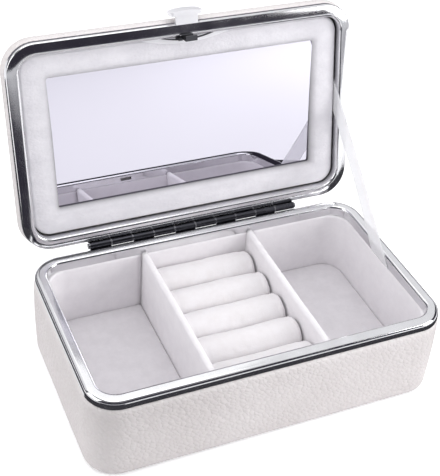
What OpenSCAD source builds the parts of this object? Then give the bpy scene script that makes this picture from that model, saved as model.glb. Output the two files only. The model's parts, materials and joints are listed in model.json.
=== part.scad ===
// Ring display box: a leather-covered box whose lid and base are rimmed with
// bright metal channel. The lid opens on a knuckled rear hinge, is held by a
// ribbon stay and locks with a push button. Inside are two open bays and a
// middle bay of padded ring rolls, and the lid carries a mirror.
//
// Frame: millimetres, +X to the right, +Y to the back, +Z up. The origin is
// the centre of the underside. The lid is drawn open, as the box displays.

/* [Case] */
// Width over the metal frame
case_w = 170; // [150:1:200]
// Depth over the metal frame, front to back
case_d = 100; // [90:1:125]
// Height of the base, underside to the face of its frame
base_h = 45; // [40:0.5:70]
// Thickness of the lid, from the face of its frame to its top
lid_h = 12.5; // [12.3:0.1:20]
// Radius of the upright corners, on the metal frame
corner_r = 14.2; // [12.5:0.1:20]
// Gap between the two frames when the lid is shut
mate_gap = 0.4; // [0.3:0.05:0.8]
// Angle of the open lid from shut, where the ribbon stops it
open_angle = 102; // [90:1:110]

/* [Boards] */
// Thickness of the wall boards
wall_t = 2.6; // [2:0.1:3]
// Thickness of the floor board
floor_t = 4; // [3:0.1:6]
// Thickness of the lid's top board
lid_board_t = 2; // [1.5:0.1:3]

/* [Leather cover] */
// Thickness of the leather where it is glued flat
skin_t = 0.8; // [0.6:0.05:0.9]
// How far the padded cover stands out past the metal frame
cover_proud = 0.6; // [0.3:0.05:1.2]
// Radius of the rounded bottom edge
bottom_r = 2.7; // [1.5:0.1:4]
// Radius of the rounded top edge of the lid
top_r = 3.5; // [2:0.1:4]
// Width of the leather turned in under the base
turn_in_w = 10; // [6:0.5:11]
// Thickness of the sheet glued under the base
sheet_t = 0.6; // [0.4:0.1:1.5]
// How far the sheet laps over the turned-in leather
sheet_lap = 6; // [3:0.5:8]

/* [Metal frame] */
// Sheet thickness of the channel
metal_t = 0.7; // [0.5:0.05:0.8]
// Width of the channel's face
lip_w = 5.9; // [5.5:0.1:6.5]
// Height of the channel's outer leg
outer_leg_h = 4.1; // [3.2:0.1:5]
// Height of the channel's inner leg
inner_leg_h = 5; // [4.5:0.1:6]
// Bend radius at the rolled outer edge of the face
outer_bend_r = 2.2; // [1.5:0.1:2.3]
// Bend radius at the inner edge of the face
inner_bend_r = 1.4; // [0.8:0.1:1.6]

/* [Lining] */
// Thickness of the padded wall lining
lining_t = 2; // [1.8:0.1:3]
// Corner radius inside the lining
lining_corner_r = 10.5; // [8:0.5:14]
// Thickness of the floor pads
floor_pad_t = 3.3; // [2:0.1:6]
// Edge radius on top of the floor pads
pad_edge_r = 0.9; // [0.5:0.1:1]

/* [Bays] */
// Thickness of the padded dividers
divider_t = 3.1; // [2.5:0.1:5]
// Left divider's centre, from the middle of the case
divider_left_x = -28.9; // [-36:0.1:-24]
// Right divider's centre, from the middle of the case
divider_right_x = 26.6; // [22:0.1:36]
// How far the dividers stop below the face of the frame
divider_drop = 3.5; // [2:0.1:8]

/* [Ring rolls] */
// Number of ring rolls, front to back
roll_count = 5; // [5:1:5]
// How far the tops of the rolls lie below the face of the frame
roll_drop = 10.5; // [8:0.5:14]
// Gap between two rolls where they lie side by side
roll_gap = 0.25; // [0.2:0.05:0.6]
// Edge radius at the ends of the rolls
roll_end_r = 3; // [1:0.1:4]
// Thickness of the board under the rolls
tray_t = 3; // [2:0.1:5]

/* [Hinge] */
// Number of knuckles, shared by the two leaves
knuckle_count = 10; // [4:2:16]
// Length of one knuckle, with its end gap
knuckle_pitch = 10.9; // [8:0.1:13]
// Outer radius of the knuckles
knuckle_r = 1.7; // [1.6:0.02:1.74]
// Radius of the hinge pin
pin_r = 0.75; // [0.6:0.01:0.85]
// Sheet thickness of the leaves
leaf_t = 0.6; // [0.5:0.05:0.7]
// Distance of the pin behind the metal frame
pin_back = 1.5; // [1.5:0.02:1.8]
// Number of rivets through each leaf
rivet_count = 4; // [2:1:8]
// Radius of a rivet's head
rivet_r = 0.75; // [0.6:0.05:0.8]
// Height of a rivet's head
rivet_h = 0.4; // [0.3:0.05:0.5]
// Radius of the pin's heads
pin_head_r = 1.3; // [1:0.05:1.4]
// Thickness of the pin's heads
pin_head_t = 0.6; // [0.4:0.05:1]

/* [Mirror and lid pad] */
// Width of the mirror's window
window_w = 131.6; // [110:0.2:134]
// Depth of the mirror's window
window_d = 62.8; // [50:0.2:66]
// Depth of the mirror's face below the face of the lid's frame
mirror_depth = 6.2; // [5.8:0.1:6.4]
// Thickness of the mirror glass
mirror_t = 1.8; // [1.2:0.1:2]
// How far the mirror reaches behind the pad, on each side
mirror_lap = 4; // [2:0.1:5]
// Lean of the mirror in the lid, its clasp side nearer to the viewer
mirror_lean = 1.5; // [0.5:0.1:2]
// Depth of the pad's crown below the face of the lid's frame
pad_depth = 3.9; // [3.8:0.1:4.4]
// Radius of the pad's outer edge
lid_pad_edge_r = 2; // [1:0.1:2.2]

/* [Push-button clasp] */
// Width of the button's cap
cap_w = 16; // [12:0.5:20]
// Height of the button's cap
cap_h = 6; // [5:0.1:7]
// Thickness of the button's cap at its middle
cap_t = 2.5; // [2:0.1:4]
// How far the cap's face falls back towards its ends
cap_dome = 0.9; // [0.3:0.1:1.2]
// Corner radius of the cap
cap_corner_r = 1.6; // [0.8:0.1:2.2]
// Height of the cap's lower edge above the face of the lid's frame
cap_rise = 0.4; // [0.2:0.1:0.8]
// Distance of the cap's back from the metal frame when it is pressed home
cap_stop = 1.6; // [1.4:0.1:3]
// Width of the button's neck
neck_w = 10.6; // [8:0.2:11]
// Height of the button's neck
neck_h = 1.9; // [1.5:0.1:1.9]
// Travel of the button when it is pressed
press_travel = 2; // [1:0.1:2.2]
// Width of the hook
hook_w = 5.6; // [4:0.2:6]
// Sheet thickness of the hook
hook_t = 1; // [0.8:0.05:1.1]
// How far the hook's nose reaches below the face of the lid's frame
hook_reach = 4.1; // [3.5:0.1:4.3]
// How far the nose catches in the strike slot
hook_catch = 1.1; // [0.6:0.1:1.2]
// Width of the guide finger beside the hook
finger_w = 1.8; // [1.2:0.1:2.4]
// How far the guide finger reaches below the face of the lid's frame
finger_reach = 1.6; // [1:0.1:2.4]
// Length of the crescent guard plate
guard_l = 42; // [30:1:50]
// How far the guard plate bulges past the frame's inner edge
guard_bulge = 3.9; // [3:0.1:5]
// Width of the guard plate at its blunt ends
guard_end = 0.8; // [0.4:0.1:1.5]
// Thickness of the guard plate
guard_t = 0.5; // [0.3:0.05:0.55]
// Length of the bowed spring behind the hook
spring_l = 26; // [20:1:30]
// Thickness of the bowed spring
spring_t = 0.35; // [0.25:0.05:0.5]
// Height of the bowed spring
spring_h = 1.5; // [1:0.1:1.5]

/* [Ribbon stay] */
// Length of the ribbon's edge where it leaves the lining
ribbon_w = 16; // [10:0.5:20]
// Thickness of the ribbon
ribbon_t = 0.3; // [0.2:0.05:0.3]
// Middle of the ribbon on the base, from the middle of the case
ribbon_base_y = 3; // [0:0.5:12]
// Middle of the ribbon on the lid, from the middle of the lid
ribbon_lid_y = -4; // [-8:0.5:2]

/* [Clearances] */
// Gap round linings, pads and other soft pieces
soft_gap = 0.1; // [0.05:0.05:0.15]
// Gap round moving parts of the clasp
slide_gap = 0.25; // [0.15:0.05:0.3]
// Gap between the pin and the knuckles' bores
pin_gap = 0.05; // [0.02:0.01:0.08]
// Gap between neighbouring knuckles
knuckle_gap = 0.3; // [0.2:0.05:0.6]

/* [Hidden] */

// Roundness of arcs and of wide arcs, and a length that only makes a cut run past a face.
$fn = 48;
wide_fn = 180;
past = 1;

// Inset of each layer of the wall from the outside of the metal frame.
board_inset = metal_t + soft_gap + skin_t;
board_inner_inset = board_inset + wall_t;
lining_outer_inset = board_inner_inset + soft_gap;
lining_inset = lining_outer_inset + lining_t;
half_w = case_w / 2;
half_d = case_d / 2;

// Levels of the base.
board_z = sheet_t + skin_t + soft_gap;
floor_z = board_z + floor_t + soft_gap;
pad_top_z = floor_z + floor_pad_t;
web_under_z = base_h - metal_t;
board_top_z = web_under_z - 2 * soft_gap;
bend_z = base_h - outer_bend_r;
leg_edge_z = base_h - outer_leg_h;
lining_top_z = base_h - inner_leg_h - soft_gap;
divider_top_z = base_h - divider_drop;

// The shut lid mirrors the base about the plane where the frames meet.
mate_z = base_h + mate_gap / 2;
lid_z = base_h + mate_gap;
lid_top_z = lid_z + lid_h;
lid_board_z = lid_top_z - skin_t;
lid_ceiling_z = lid_board_z - lid_board_t;
mirror_z = lid_z + mirror_depth;
mirror_rise = (window_d / 2 + mirror_lap) * sin(mirror_lean);
lid_pad_z = lid_z + pad_depth;

// The hinge pin lies behind the frames, level with the plane where they meet.
pin_y = half_d + pin_back;
pin_z = mate_z;
hinge_l = knuckle_count * knuckle_pitch;
leaf_foot_z = leg_edge_z + soft_gap;
leaf_strip_z = pin_z - knuckle_r;
rivet_z = (leaf_foot_z + leaf_strip_z) / 2;

// Bays: the left and right faces of the dividers.
bay_left_x = divider_left_x - divider_t / 2 - soft_gap;
roll_left_x = divider_left_x + divider_t / 2 + soft_gap;
roll_right_x = divider_right_x - divider_t / 2 - soft_gap;
bay_right_x = divider_right_x + divider_t / 2 + soft_gap;
bay_half_w = half_w - lining_inset;
bay_half_d = half_d - lining_inset;

// Rolls share the depth of the bay.
roll_pitch = 2 * bay_half_d / roll_count;
roll_r = (roll_pitch - roll_gap) / 2;
roll_top_z = base_h - roll_drop;
tray_top_z = floor_z + tray_t;
roll_foot_z = tray_top_z + soft_gap;

// Clasp: where the cap's back stands, and levels above the face of the lid's frame.
cap_reach = cap_stop + press_travel;
inner_y = -half_d + lip_w;
neck_z = lid_z + metal_t + slide_gap;
slot_half_w = neck_w / 2 + slide_gap;
hook_back_y = inner_y + slide_gap + hook_t;
nose_z = lid_z - hook_reach;
guard_z = lid_pad_z - soft_gap - guard_t;

// Ribbon plane, between the frame's inner leg and the soft pieces.
ribbon_x = half_w - lip_w - soft_gap - ribbon_t;

// ---------------------------------------------------------------- shapes

// Rectangle with round corners, centred.
module round_rect(w, d, r) {
    square([w - 2 * r, d], center = true);
    square([w, d - 2 * r], center = true);
    for (sx = [-1, 1], sy = [-1, 1])
        translate([sx * (w / 2 - r), sy * (d / 2 - r)]) circle(r);
}

// Outline of the case, drawn in from the metal frame's outside.
module case_outline(inset) {
    round_rect(case_w - 2 * inset, case_d - 2 * inset, corner_r - inset);
}

// Outline of the space inside the lining.
module bay_outline(inset = 0) {
    round_rect(case_w - 2 * (lining_inset + inset), case_d - 2 * (lining_inset + inset),
        lining_corner_r - inset);
}

// Sweeps a section round the case. The section's x is its distance from the
// axis of the round corners, so corner_r lies on the outside of the frame.
module round_case() {
    straight_w = case_w - 2 * corner_r;
    straight_d = case_d - 2 * corner_r;
    for (side = [0, 1]) rotate([0, 0, 180 * side]) {
        translate([straight_w / 2, straight_d / 2, 0])
            rotate([90, 0, 0]) linear_extrude(straight_d) children();
        rotate([0, 0, 90]) translate([straight_d / 2, straight_w / 2, 0])
            rotate([90, 0, 0]) linear_extrude(straight_w) children();
        translate([straight_w / 2, straight_d / 2, 0]) rotate_extrude(angle = 90) children();
        rotate([0, 0, 90]) translate([straight_d / 2, straight_w / 2, 0])
            rotate_extrude(angle = 90) children();
    }
}

// Box section from (x0, y0) to (x1, y1) whose top right corner is round.
module corner_section(x0, y0, x1, y1, r) {
    translate([x0, y0]) square([x1 - x0 - r, y1 - y0]);
    translate([x0, y0]) square([x1 - x0, y1 - y0 - r]);
    translate([x1 - r, y1 - r]) intersection() {
        circle(r);
        square(r);
    }
}

// Limits a soft block to a flat-bottomed form whose upper edges are round.
module soft_block(x0, x1, y0, y1, z0, z1, r) {
    intersection() {
        translate([0, y1, 0]) rotate([90, 0, 0]) linear_extrude(y1 - y0)
            round_top(x0, x1, z0, z1, r);
        translate([x0, 0, 0]) rotate([90, 0, 90]) linear_extrude(x1 - x0)
            round_top(y0, y1, z0, z1, r);
    }
}

// Box whose two upper corners are round.
module round_top(x0, x1, z0, z1, r) {
    translate([x0, z0]) square([x1 - x0, z1 - z0 - r]);
    translate([x0 + r, z0]) square([x1 - x0 - 2 * r, z1 - z0]);
    for (x = [x0 + r, x1 - r]) translate([x, z1 - r]) circle(r);
}

// Turns what is drawn for the shut lid to the open lid.
module open_lid() {
    translate([0, pin_y, pin_z]) rotate([-open_angle, 0, 0])
        translate([0, -pin_y, -pin_z]) children();
}

// Mirrors what is drawn for the base to the shut lid.
module shut_lid() {
    translate([0, 0, 2 * mate_z]) mirror([0, 0, 1]) children();
}

// ---------------------------------------------------------------- metal frame

// Section of the channel: outer leg, face and inner leg, with bent edges.
module channel_section() {
    inner_r = corner_r - lip_w;
    foot_z = base_h - inner_leg_h;
    difference() {
        union() {
            corner_section(inner_r + inner_bend_r, foot_z, corner_r, base_h, outer_bend_r);
            translate([inner_r, foot_z]) square([inner_bend_r, inner_leg_h - inner_bend_r]);
            translate([inner_r + inner_bend_r, base_h - inner_bend_r]) circle(inner_bend_r);
        }
        corner_section(inner_r + metal_t, foot_z - past, corner_r - metal_t, web_under_z,
            outer_bend_r - metal_t);
        translate([corner_r - metal_t - soft_gap, foot_z - past])
            square([metal_t + soft_gap + past, leg_edge_z - foot_z + past]);
    }
}

module base_frame() {
    strike_w = hook_w + 4 * slide_gap;
    color("silver") difference() {
        round_case() channel_section();
        // Strike slot in the front inner leg, where the hook's nose catches.
        translate([-strike_w / 2, inner_y - metal_t - past / 2, nose_z - slide_gap])
            cube([strike_w, metal_t + past, hook_t + 3 * slide_gap]);
    }
}

// Slot through the front of the lid, where the button's neck slides.
module neck_slot(y0, y1, z0) {
    translate([-slot_half_w, y0, z0])
        cube([2 * slot_half_w, y1 - y0, neck_z + neck_h + slide_gap - z0]);
}

module lid_frame() {
    color("silver") open_lid() difference() {
        shut_lid() round_case() channel_section();
        neck_slot(-half_d - past, inner_y + past, neck_z - slide_gap);
    }
}

// ---------------------------------------------------------------- base boards and cover

module base_carcass() {
    color("tan") union() {
        translate([0, 0, board_z]) linear_extrude(floor_t) case_outline(board_inset);
        translate([0, 0, board_z]) linear_extrude(board_top_z - board_z)
            difference() {
                case_outline(board_inset);
                case_outline(board_inner_inset);
            }
    }
}

// Section of the leather: padded wall, tuck into the channel and turn-in.
module base_cover_section() {
    wall_r = corner_r - board_inset;
    outer_r = corner_r + cover_proud;
    difference() {
        union() {
            translate([wall_r - turn_in_w, sheet_t])
                square([outer_r - bottom_r - wall_r + turn_in_w, leg_edge_z - soft_gap - sheet_t]);
            translate([wall_r, sheet_t + bottom_r])
                square([outer_r - wall_r, leg_edge_z - soft_gap - sheet_t - bottom_r - cover_proud]);
            translate([outer_r - bottom_r, sheet_t + bottom_r]) circle(bottom_r);
            translate([wall_r, leg_edge_z - soft_gap - 2 * cover_proud])
                square([outer_r - cover_proud - wall_r, 2 * cover_proud]);
            translate([outer_r - cover_proud, leg_edge_z - soft_gap - cover_proud])
                circle(cover_proud);
            translate([wall_r, base_h / 2]) square([skin_t, bend_z - base_h / 2]);
        }
        translate([wall_r - turn_in_w - past, board_z - soft_gap])
            square([turn_in_w + past, base_h]);
    }
}

module base_leather_cover() {
    color("ivory") round_case() base_cover_section();
}

module base_bottom_sheet() {
    sheet_inset = board_inset + turn_in_w - sheet_lap;
    color("whitesmoke") linear_extrude(sheet_t) case_outline(sheet_inset);
}

// ---------------------------------------------------------------- lid boards and cover

module lid_carcass() {
    wall_r = corner_r - board_inset;
    edge_r = top_r / 2;
    color("tan") open_lid() difference() {
        union() {
            translate([0, 0, lid_ceiling_z]) linear_extrude(lid_board_t)
                case_outline(board_inset + edge_r);
            round_case() corner_section(wall_r - wall_t, 2 * mate_z - board_top_z, wall_r,
                lid_board_z, edge_r);
        }
        neck_slot(-half_d, inner_y, lid_z);
    }
}

// Section of the lid's leather: padded wall, tuck and the edge of the top.
module lid_cover_section() {
    wall_r = corner_r - board_inset;
    outer_r = corner_r + cover_proud;
    hem_z = lid_z + outer_leg_h + soft_gap;
    difference() {
        union() {
            corner_section(wall_r - wall_t, hem_z + cover_proud, outer_r, lid_top_z, top_r);
            translate([wall_r - wall_t, hem_z])
                square([outer_r - cover_proud - wall_r + wall_t, 2 * cover_proud]);
            translate([outer_r - cover_proud, hem_z + cover_proud]) circle(cover_proud);
            translate([wall_r - wall_t, 2 * mate_z - bend_z])
                square([wall_t + skin_t, lid_h / 2]);
        }
        translate([-past, 0])
            corner_section(wall_r - wall_t, lid_z, wall_r + past, lid_board_z, top_r / 2);
    }
}

module lid_leather_cover() {
    color("ivory") open_lid() difference() {
        union() {
            round_case() lid_cover_section();
            translate([0, 0, lid_board_z]) linear_extrude(skin_t)
                case_outline(top_r - cover_proud);
        }
        neck_slot(-half_d, inner_y, lid_z);
    }
}

// ---------------------------------------------------------------- lining and bays

// Part of the wall lining that lies within a rectangle, seen from above.
module lining_band(x0, x1, y0 = -half_d, y1 = half_d) {
    translate([0, 0, floor_z]) linear_extrude(lining_top_z - floor_z) intersection() {
        difference() {
            case_outline(lining_outer_inset);
            bay_outline();
        }
        translate([x0, y0]) square([x1 - x0, y1 - y0]);
    }
}

module lining_left() {
    color("whitesmoke") lining_band(-half_w, bay_left_x);
}

module lining_front() {
    color("whitesmoke") lining_band(bay_left_x + soft_gap, bay_right_x - soft_gap, y1 = 0);
}

module lining_rear() {
    color("whitesmoke") lining_band(bay_left_x + soft_gap, bay_right_x - soft_gap, y0 = 0);
}

module lining_right() {
    color("whitesmoke") lining_band(bay_right_x, half_w);
}

// Floor pad of a side bay, with a softly rounded rim.
module floor_pad(x0, x1) {
    pad_half_d = bay_half_d - soft_gap;
    intersection() {
        translate([0, 0, floor_z]) linear_extrude(floor_pad_t) bay_outline(soft_gap);
        soft_block(x0, x1, -pad_half_d, pad_half_d, floor_z, pad_top_z, pad_edge_r);
    }
}

module floor_pad_left() {
    color("whitesmoke") floor_pad(soft_gap - bay_half_w, bay_left_x);
}

module floor_pad_right() {
    color("whitesmoke") floor_pad(bay_right_x, bay_half_w - soft_gap);
}

// Padded divider, its top edge fully rounded.
module divider(x) {
    round_z = divider_top_z - divider_t / 2;
    translate([x, bay_half_d - soft_gap, 0]) rotate([90, 0, 0])
        linear_extrude(2 * (bay_half_d - soft_gap)) {
            translate([-divider_t / 2, floor_z]) square([divider_t, round_z - floor_z]);
            translate([0, round_z]) circle(divider_t / 2);
        }
}

module divider_left() {
    color("whitesmoke") divider(divider_left_x);
}

module divider_right() {
    color("whitesmoke") divider(divider_right_x);
}

// ---------------------------------------------------------------- ring rolls

module ring_tray_board() {
    color("tan") translate([roll_left_x, -bay_half_d + soft_gap, floor_z])
        cube([roll_right_x - roll_left_x, 2 * (bay_half_d - soft_gap), tray_t]);
}

// One padded roll: a half-round top on straight sides, with soft ends.
module ring_roll(index) {
    x0 = roll_left_x + soft_gap;
    x1 = roll_right_x - soft_gap;
    translate([0, (index - (roll_count + 1) / 2) * roll_pitch, 0]) intersection() {
        soft_block(x0, x1, -roll_r, roll_r, roll_foot_z, roll_top_z, roll_end_r);
        translate([x0, 0, roll_top_z - roll_r]) rotate([90, 0, 90]) linear_extrude(x1 - x0) {
            circle(roll_r);
            translate([-roll_r, roll_foot_z + roll_r - roll_top_z])
                square([2 * roll_r, roll_top_z - roll_r - roll_foot_z]);
        }
        translate([(x0 + x1) / 2, 0, roll_foot_z]) linear_extrude(roll_top_z - roll_foot_z)
            round_rect(x1 - x0, 2 * roll_r, roll_end_r);
    }
}

module ring_roll_1() { color("snow") ring_roll(1); }
module ring_roll_2() { color("snow") ring_roll(2); }
module ring_roll_3() { color("snow") ring_roll(3); }
module ring_roll_4() { color("snow") ring_roll(4); }
module ring_roll_5() { color("snow") ring_roll(5); }

// ---------------------------------------------------------------- hinge

// One leaf: a strip on the frame's outer leg with a finger for each knuckle.
// The base's leaf takes the odd knuckles and the lid's leaf the even ones.
module hinge_leaf(first) {
    translate([-hinge_l / 2, half_d, leaf_foot_z])
        cube([hinge_l, leaf_t, leaf_strip_z - leaf_foot_z]);
    for (i = [first:2:knuckle_count - 1])
        translate([-hinge_l / 2 + i * knuckle_pitch + knuckle_gap / 2, 0, 0])
            difference() {
                union() {
                    translate([0, half_d, leaf_foot_z])
                        cube([knuckle_pitch - knuckle_gap, leaf_t, pin_z - leaf_foot_z]);
                    translate([0, pin_y, pin_z]) rotate([0, 90, 0])
                        cylinder(r = knuckle_r, h = knuckle_pitch - knuckle_gap);
                }
                translate([-past, pin_y, pin_z]) rotate([0, 90, 0])
                    cylinder(r = pin_r + pin_gap, h = knuckle_pitch + 2 * past);
            }
}

module hinge_leaf_base() {
    color("silver") hinge_leaf(0);
}

module hinge_leaf_lid() {
    color("silver") open_lid() shut_lid() hinge_leaf(1);
}

module hinge_pin() {
    color("gainsboro") translate([-hinge_l / 2, pin_y, pin_z]) rotate([0, 90, 0]) {
        cylinder(r = pin_r, h = hinge_l);
        for (x = [-pin_head_t, hinge_l])
            translate([0, 0, x]) cylinder(r = pin_head_r, h = pin_head_t);
    }
}

// Domed rivet heads on a leaf.
module leaf_rivets() {
    span = hinge_l - 2 * knuckle_pitch;
    for (i = [0:rivet_count - 1])
        translate([-span / 2 + i * span / (rivet_count - 1), half_d + leaf_t, rivet_z])
            rotate([-90, 0, 0]) cylinder(r = rivet_r, h = rivet_h);
}

module hinge_rivets_base() {
    color("gainsboro") leaf_rivets();
}

module hinge_rivets_lid() {
    color("gainsboro") open_lid() shut_lid() leaf_rivets();
}

// ---------------------------------------------------------------- mirror and lid pad

module lid_pad() {
    outer_r = corner_r - lip_w - 2 * soft_gap - ribbon_t;
    seat_z = lid_ceiling_z - soft_gap;
    bevel = (mirror_depth - mirror_rise - pad_depth) / 2;
    color("whitesmoke") open_lid() difference() {
        union() {
            round_case() shut_section(lid_pad_z, seat_z, outer_r, lid_pad_edge_r);
            translate([0, 0, lid_pad_z]) linear_extrude(seat_z - lid_pad_z)
                square([case_w - 2 * corner_r, case_d - 2 * corner_r], center = true);
        }
        // Window in front of the mirror, with a bevelled rim.
        translate([-window_w / 2, -window_d / 2, lid_pad_z - past])
            cube([window_w, window_d, lid_h]);
        for (turn = [0, 180]) rotate([0, 0, turn]) {
            window_bevel(window_w, window_d / 2, bevel);
            rotate([0, 0, 90]) window_bevel(window_d, window_w / 2, bevel);
        }
        // Seat of the mirror and its backing.
        mirror_slab(mirror_z - soft_gap, seat_z + lid_h, soft_gap);
    }
}

// Section of a pad that faces down, its outer lower corner round.
module shut_section(z0, z1, r1, edge_r) {
    translate([0, z0]) square([r1 - edge_r, z1 - z0]);
    translate([0, z0 + edge_r]) square([r1, z1 - z0 - edge_r]);
    translate([r1 - edge_r, z0 + edge_r]) circle(edge_r);
}

// Wedge cut along one side of the window.
module window_bevel(l, y, bevel) {
    translate([-l / 2 - bevel, 0, 0]) rotate([90, 0, 90]) linear_extrude(l + 2 * bevel)
        polygon([[y - past, lid_pad_z - past], [y + bevel + past, lid_pad_z - past],
            [y - past, lid_pad_z + bevel + past]]);
}

// Leaning slab behind the window, as large as the mirror.
module mirror_slab(z0, z1, gap) {
    translate([0, 0, mirror_z]) rotate([mirror_lean, 0, 0])
        translate([0, 0, z0 - mirror_z]) linear_extrude(z1 - z0)
            square([window_w + 2 * (mirror_lap + gap), window_d + 2 * (mirror_lap + gap)],
                center = true);
}

module mirror_glass() {
    color("lightsteelblue") open_lid() mirror_slab(mirror_z, mirror_z + mirror_t, 0);
}

// Wedge of board that packs the leaning mirror against the lid's top board.
module mirror_backing() {
    color("tan") open_lid() intersection() {
        mirror_slab(mirror_z + mirror_t, mirror_z + lid_h, 0);
        translate([-half_w, -half_d, mirror_z])
            cube([case_w, case_d, lid_ceiling_z - soft_gap - mirror_z]);
    }
}

// ---------------------------------------------------------------- clasp

// Cap with a domed face, on the neck that slides through the frame.
module clasp_button() {
    cap_back_y = -half_d - cap_reach;
    cap_z = lid_z + cap_rise + cap_h / 2;
    dome_r = (pow(cap_w / 2, 2) + pow(cap_dome, 2)) / (2 * cap_dome);
    color("silver") open_lid() {
        intersection() {
            translate([0, cap_back_y, cap_z]) rotate([90, 0, 0])
                linear_extrude(cap_t) round_rect(cap_w, cap_h, cap_corner_r);
            translate([0, cap_back_y - cap_t + dome_r, cap_z - cap_h])
                cylinder(r = dome_r, h = 2 * cap_h, $fn = wide_fn);
        }
        translate([-neck_w / 2, cap_back_y, neck_z])
            cube([neck_w, cap_reach + lip_w - metal_t - slide_gap, neck_h]);
    }
}

// A strip that runs inward from the neck and turns down to the nose, with a
// short guide finger beside it.
module clasp_hook() {
    strip_y = inner_y - metal_t - slide_gap;
    finger_x = -neck_w / 2;
    color("dimgray") open_lid() {
        translate([finger_x, strip_y, neck_z])
            cube([neck_w / 2 + hook_w / 2, hook_back_y - strip_y, neck_h]);
        translate([-hook_w / 2, hook_back_y - hook_t, nose_z])
            cube([hook_w, hook_t, neck_z - nose_z + neck_h]);
        translate([-hook_w / 2, inner_y - hook_catch, nose_z])
            cube([hook_w, hook_back_y - inner_y + hook_catch, hook_t]);
        translate([finger_x, hook_back_y - hook_t, lid_z - finger_reach])
            cube([finger_w, hook_t, neck_z - lid_z + finger_reach + neck_h]);
    }
}

// Crescent plate on the pad behind the clasp, against the frame's inner leg.
module clasp_guard_plate() {
    sag = guard_bulge - guard_end;
    sag_r = (pow(guard_l / 2, 2) + pow(sag, 2)) / (2 * sag);
    color("silver") open_lid() translate([0, inner_y, guard_z]) intersection() {
        translate([0, guard_bulge - sag_r, 0]) cylinder(r = sag_r, h = guard_t, $fn = wide_fn);
        translate([-guard_l / 2, 0, 0]) cube([guard_l, guard_bulge, guard_t]);
    }
}

// Bowed strip that pushes the hook and button back out.
module clasp_leaf_spring() {
    // The bow clears the corners of the strip, as a parabola through them would.
    bow = (hook_back_y - inner_y + spring_t) / (1 - pow(neck_w / spring_l, 2));
    bow_r = (pow(spring_l / 2, 2) + pow(bow, 2)) / (2 * bow);
    color("gainsboro") open_lid()
        translate([0, inner_y, neck_z]) intersection() {
            translate([0, bow - bow_r, 0]) difference() {
                cylinder(r = bow_r, h = spring_h, $fn = wide_fn);
                translate([0, 0, -past])
                    cylinder(r = bow_r - spring_t, h = spring_h + 2 * past, $fn = wide_fn);
            }
            translate([-spring_l / 2, 0, -past]) cube([spring_l, bow + past, spring_h + 2 * past]);
        }
}

// ---------------------------------------------------------------- ribbon stay

// Flat ribbon in one upright plane, from the base frame's inner leg to the gap
// between the lid's pad and frame.
module stay_ribbon() {
    foot_z = base_h - inner_leg_h;
    head = lid_point(ribbon_lid_y - ribbon_w / 2, lid_z + mirror_depth);
    heel = lid_point(ribbon_lid_y + ribbon_w / 2, lid_z + mirror_depth);
    color("white") translate([ribbon_x, 0, 0]) rotate([90, 0, 90]) linear_extrude(ribbon_t)
        polygon([[ribbon_base_y - ribbon_w / 2, foot_z], [ribbon_base_y + ribbon_w / 2, foot_z],
            heel, head]);
}

// Place of a point of the shut lid, given as y and z, once the lid is open.
function lid_point(y, z) =
    let (dy = y - pin_y, dz = z - pin_z)
    [pin_y + dy * cos(open_angle) + dz * sin(open_angle),
     pin_z - dy * sin(open_angle) + dz * cos(open_angle)];

base_carcass();
base_leather_cover();
base_bottom_sheet();
base_frame();
lining_left();
lining_front();
lining_rear();
lining_right();
floor_pad_left();
floor_pad_right();
divider_left();
divider_right();
ring_tray_board();
ring_roll_1();
ring_roll_2();
ring_roll_3();
ring_roll_4();
ring_roll_5();
hinge_leaf_base();
hinge_pin();
hinge_rivets_base();
stay_ribbon();
lid_carcass();
lid_leather_cover();
lid_frame();
lid_pad();
mirror_glass();
mirror_backing();
hinge_leaf_lid();
hinge_rivets_lid();
clasp_guard_plate();
clasp_leaf_spring();
clasp_button();
clasp_hook();
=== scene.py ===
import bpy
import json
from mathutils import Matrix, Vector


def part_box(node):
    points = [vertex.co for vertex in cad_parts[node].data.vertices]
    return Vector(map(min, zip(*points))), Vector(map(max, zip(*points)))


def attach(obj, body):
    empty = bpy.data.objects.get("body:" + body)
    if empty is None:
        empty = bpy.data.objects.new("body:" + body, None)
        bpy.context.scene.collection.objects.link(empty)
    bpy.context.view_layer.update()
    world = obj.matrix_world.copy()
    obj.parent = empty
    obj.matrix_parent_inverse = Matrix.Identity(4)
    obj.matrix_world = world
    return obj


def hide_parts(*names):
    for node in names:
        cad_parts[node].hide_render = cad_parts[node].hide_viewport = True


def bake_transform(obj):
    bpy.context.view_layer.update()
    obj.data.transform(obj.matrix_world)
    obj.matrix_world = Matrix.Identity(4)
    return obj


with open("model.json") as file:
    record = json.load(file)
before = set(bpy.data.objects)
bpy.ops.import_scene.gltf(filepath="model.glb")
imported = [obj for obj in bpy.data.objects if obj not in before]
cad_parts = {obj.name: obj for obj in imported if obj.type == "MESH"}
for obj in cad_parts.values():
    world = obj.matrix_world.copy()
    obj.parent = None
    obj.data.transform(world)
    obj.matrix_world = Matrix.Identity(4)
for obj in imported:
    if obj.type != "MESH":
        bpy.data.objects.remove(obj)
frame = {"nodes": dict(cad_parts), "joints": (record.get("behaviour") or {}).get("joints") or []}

"""Looks of a leather-covered ring display box, built round its packed construction.

The frame gives every size that the construction settles. Soft pieces, leather and ribbon are
surfaces worked out here and stand for their plain solids; metal, glass and boards keep their
own meshes and get a finish. Lengths are metres.
"""
import json
import logging
import math
from dataclasses import dataclass, field
from enum import Enum

import bmesh
import bpy
import numpy as np
from mathutils import Matrix, Vector

LOG = logging.getLogger("ring_box")
MM = 0.001
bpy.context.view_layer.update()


# ------------------------------------------------------------------ sizes from the frame

def low(node: str) -> np.ndarray:
    """Lowest corner of a construction node at rest."""
    return np.array(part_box(node)[0])


def high(node: str) -> np.ndarray:
    """Highest corner of a construction node at rest."""
    return np.array(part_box(node)[1])


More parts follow.
